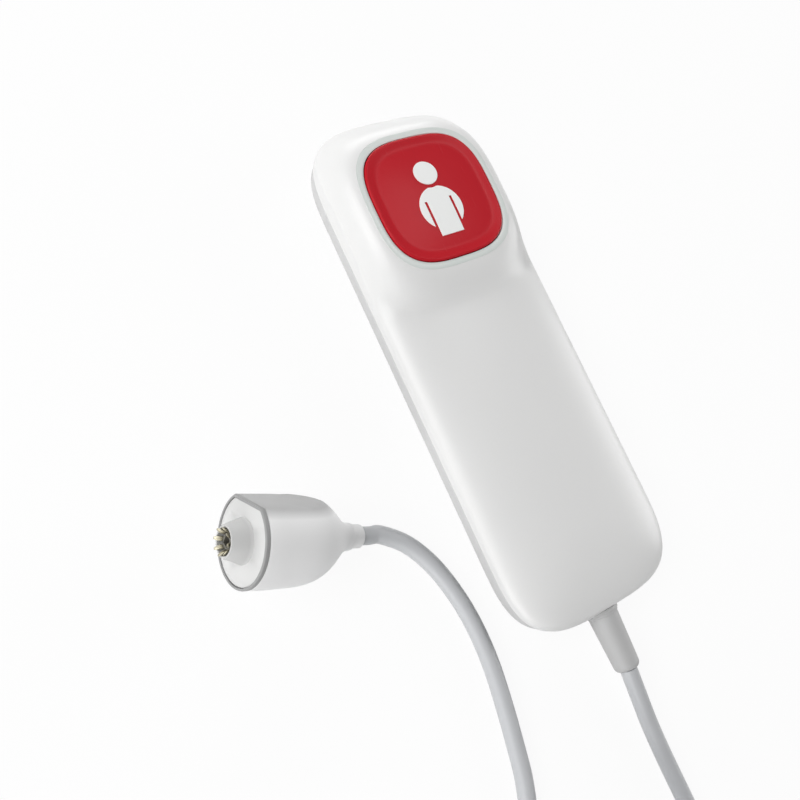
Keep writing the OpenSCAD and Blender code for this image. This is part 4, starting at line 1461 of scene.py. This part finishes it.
class HANDSET_OT_inside(bpy.types.Operator):
    """Give the pieces inside the handset and the plug their finishes."""

    bl_idname = "handset.inside"
    bl_label = "Inside pieces"

    def execute(self, context):
        plastic = Finishes.plastic
        black = plastic("Black_moulding", (0.03, 0.03, 0.03), 0.5, 0.1, 0.06)
        ivory = plastic("Ivory_moulding", (0.7, 0.66, 0.55), 0.5, 0.05, 0.06)
        steel = plastic("Screw_steel", (0.56, 0.56, 0.57), 0.32, 0.06, 0.08, 3200.0, 0.2, Metallic=1.0)
        lamp = plastic("Lamp_clear", (0.8, 0.77, 0.6), 0.2, 0.05, 0.02)
        finishes = {
            "case_seal": Finishes.of("seal"),
            "circuit_board": plastic("Board_green", (0.02, 0.16, 0.06), 0.35, 0.2, 0.1, 900.0),
            "switch_body": black,
            "driver_chip": black,
            "switch_plunger": ivory,
            "wire_header": ivory,
            "cable_clamp": plastic("Clamp_grey", (0.3, 0.3, 0.31), 0.5, 0.05, 0.08),
            "inner_cord": Finishes.of("cord"),
            "plug_cord_end": Finishes.of("cord"),
            "plug_crimp": steel,
            "board_screws": steel,
            "case_screws": steel,
            "clamp_screws": steel,
        }
        leads = ((0.7, 0.7, 0.7), (0.16, 0.07, 0.03), (0.03, 0.26, 0.07), (0.7, 0.5, 0.04))
        for i, tone in enumerate(leads, 1):
            finishes[f"lead_{i}"] = plastic(f"Lead_jacket_{i}", tone, 0.45, 0.06, 0.06)
            finishes[f"led_{i}"] = lamp
            finishes[f"resistor_{i}"] = black
        for name, finish in finishes.items():
            dress(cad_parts[name], finish)
        return {"FINISHED"}


class HANDSET_PT_panel(bpy.types.Panel):
    """Lists the steps that build the handset."""

    bl_label = "Nurse Call Handset"
    bl_idname = "HANDSET_PT_panel"
    bl_space_type = "VIEW_3D"
    bl_region_type = "UI"
    bl_category = "Handset"

    def draw(self, context):
        for operator in OPERATORS:
            self.layout.operator(operator.bl_idname)


GROUPS = {
    "handset_body": HandsetBody,
    "handset_button": CallButton,
    "handset_cord": CordRoute,
    "handset_plug": CordPlug,
    "handset_finish": HandsetFinish,
    "handset_stage": HandsetStage,
}
OPERATORS = (
    HANDSET_OT_stage,
    HANDSET_OT_cord,
    HANDSET_OT_ties,
    HANDSET_OT_strain_relief,
    HANDSET_OT_plug,
    HANDSET_OT_cord_facts,
    HANDSET_OT_front_shell,
    HANDSET_OT_rear_shell,
    HANDSET_OT_call_button,
    HANDSET_OT_inside,
)


def register():
    """Registers the settings, the operators and the panel."""
    for name, group in GROUPS.items():
        bpy.utils.register_class(group)
        setattr(bpy.types.Scene, name, bpy.props.PointerProperty(type=group))
    for cls in OPERATORS + (HANDSET_PT_panel,):
        bpy.utils.register_class(cls)


def unregister():
    """Removes them again."""
    for cls in (HANDSET_PT_panel,) + OPERATORS[::-1]:
        bpy.utils.unregister_class(cls)
    for name, group in GROUPS.items():
        delattr(bpy.types.Scene, name)
        bpy.utils.unregister_class(group)


def main():
    """Builds the handset step by step."""
    register()
    bpy.ops.handset.stage()
    bpy.ops.handset.cord()
    bpy.ops.handset.ties()
    bpy.ops.handset.strain_relief()
    bpy.ops.handset.plug()
    bpy.ops.handset.cord_facts()
    bpy.ops.handset.front_shell()
    bpy.ops.handset.rear_shell()
    bpy.ops.handset.call_button()
    bpy.ops.handset.inside()


if __name__ == "__main__":
    main()
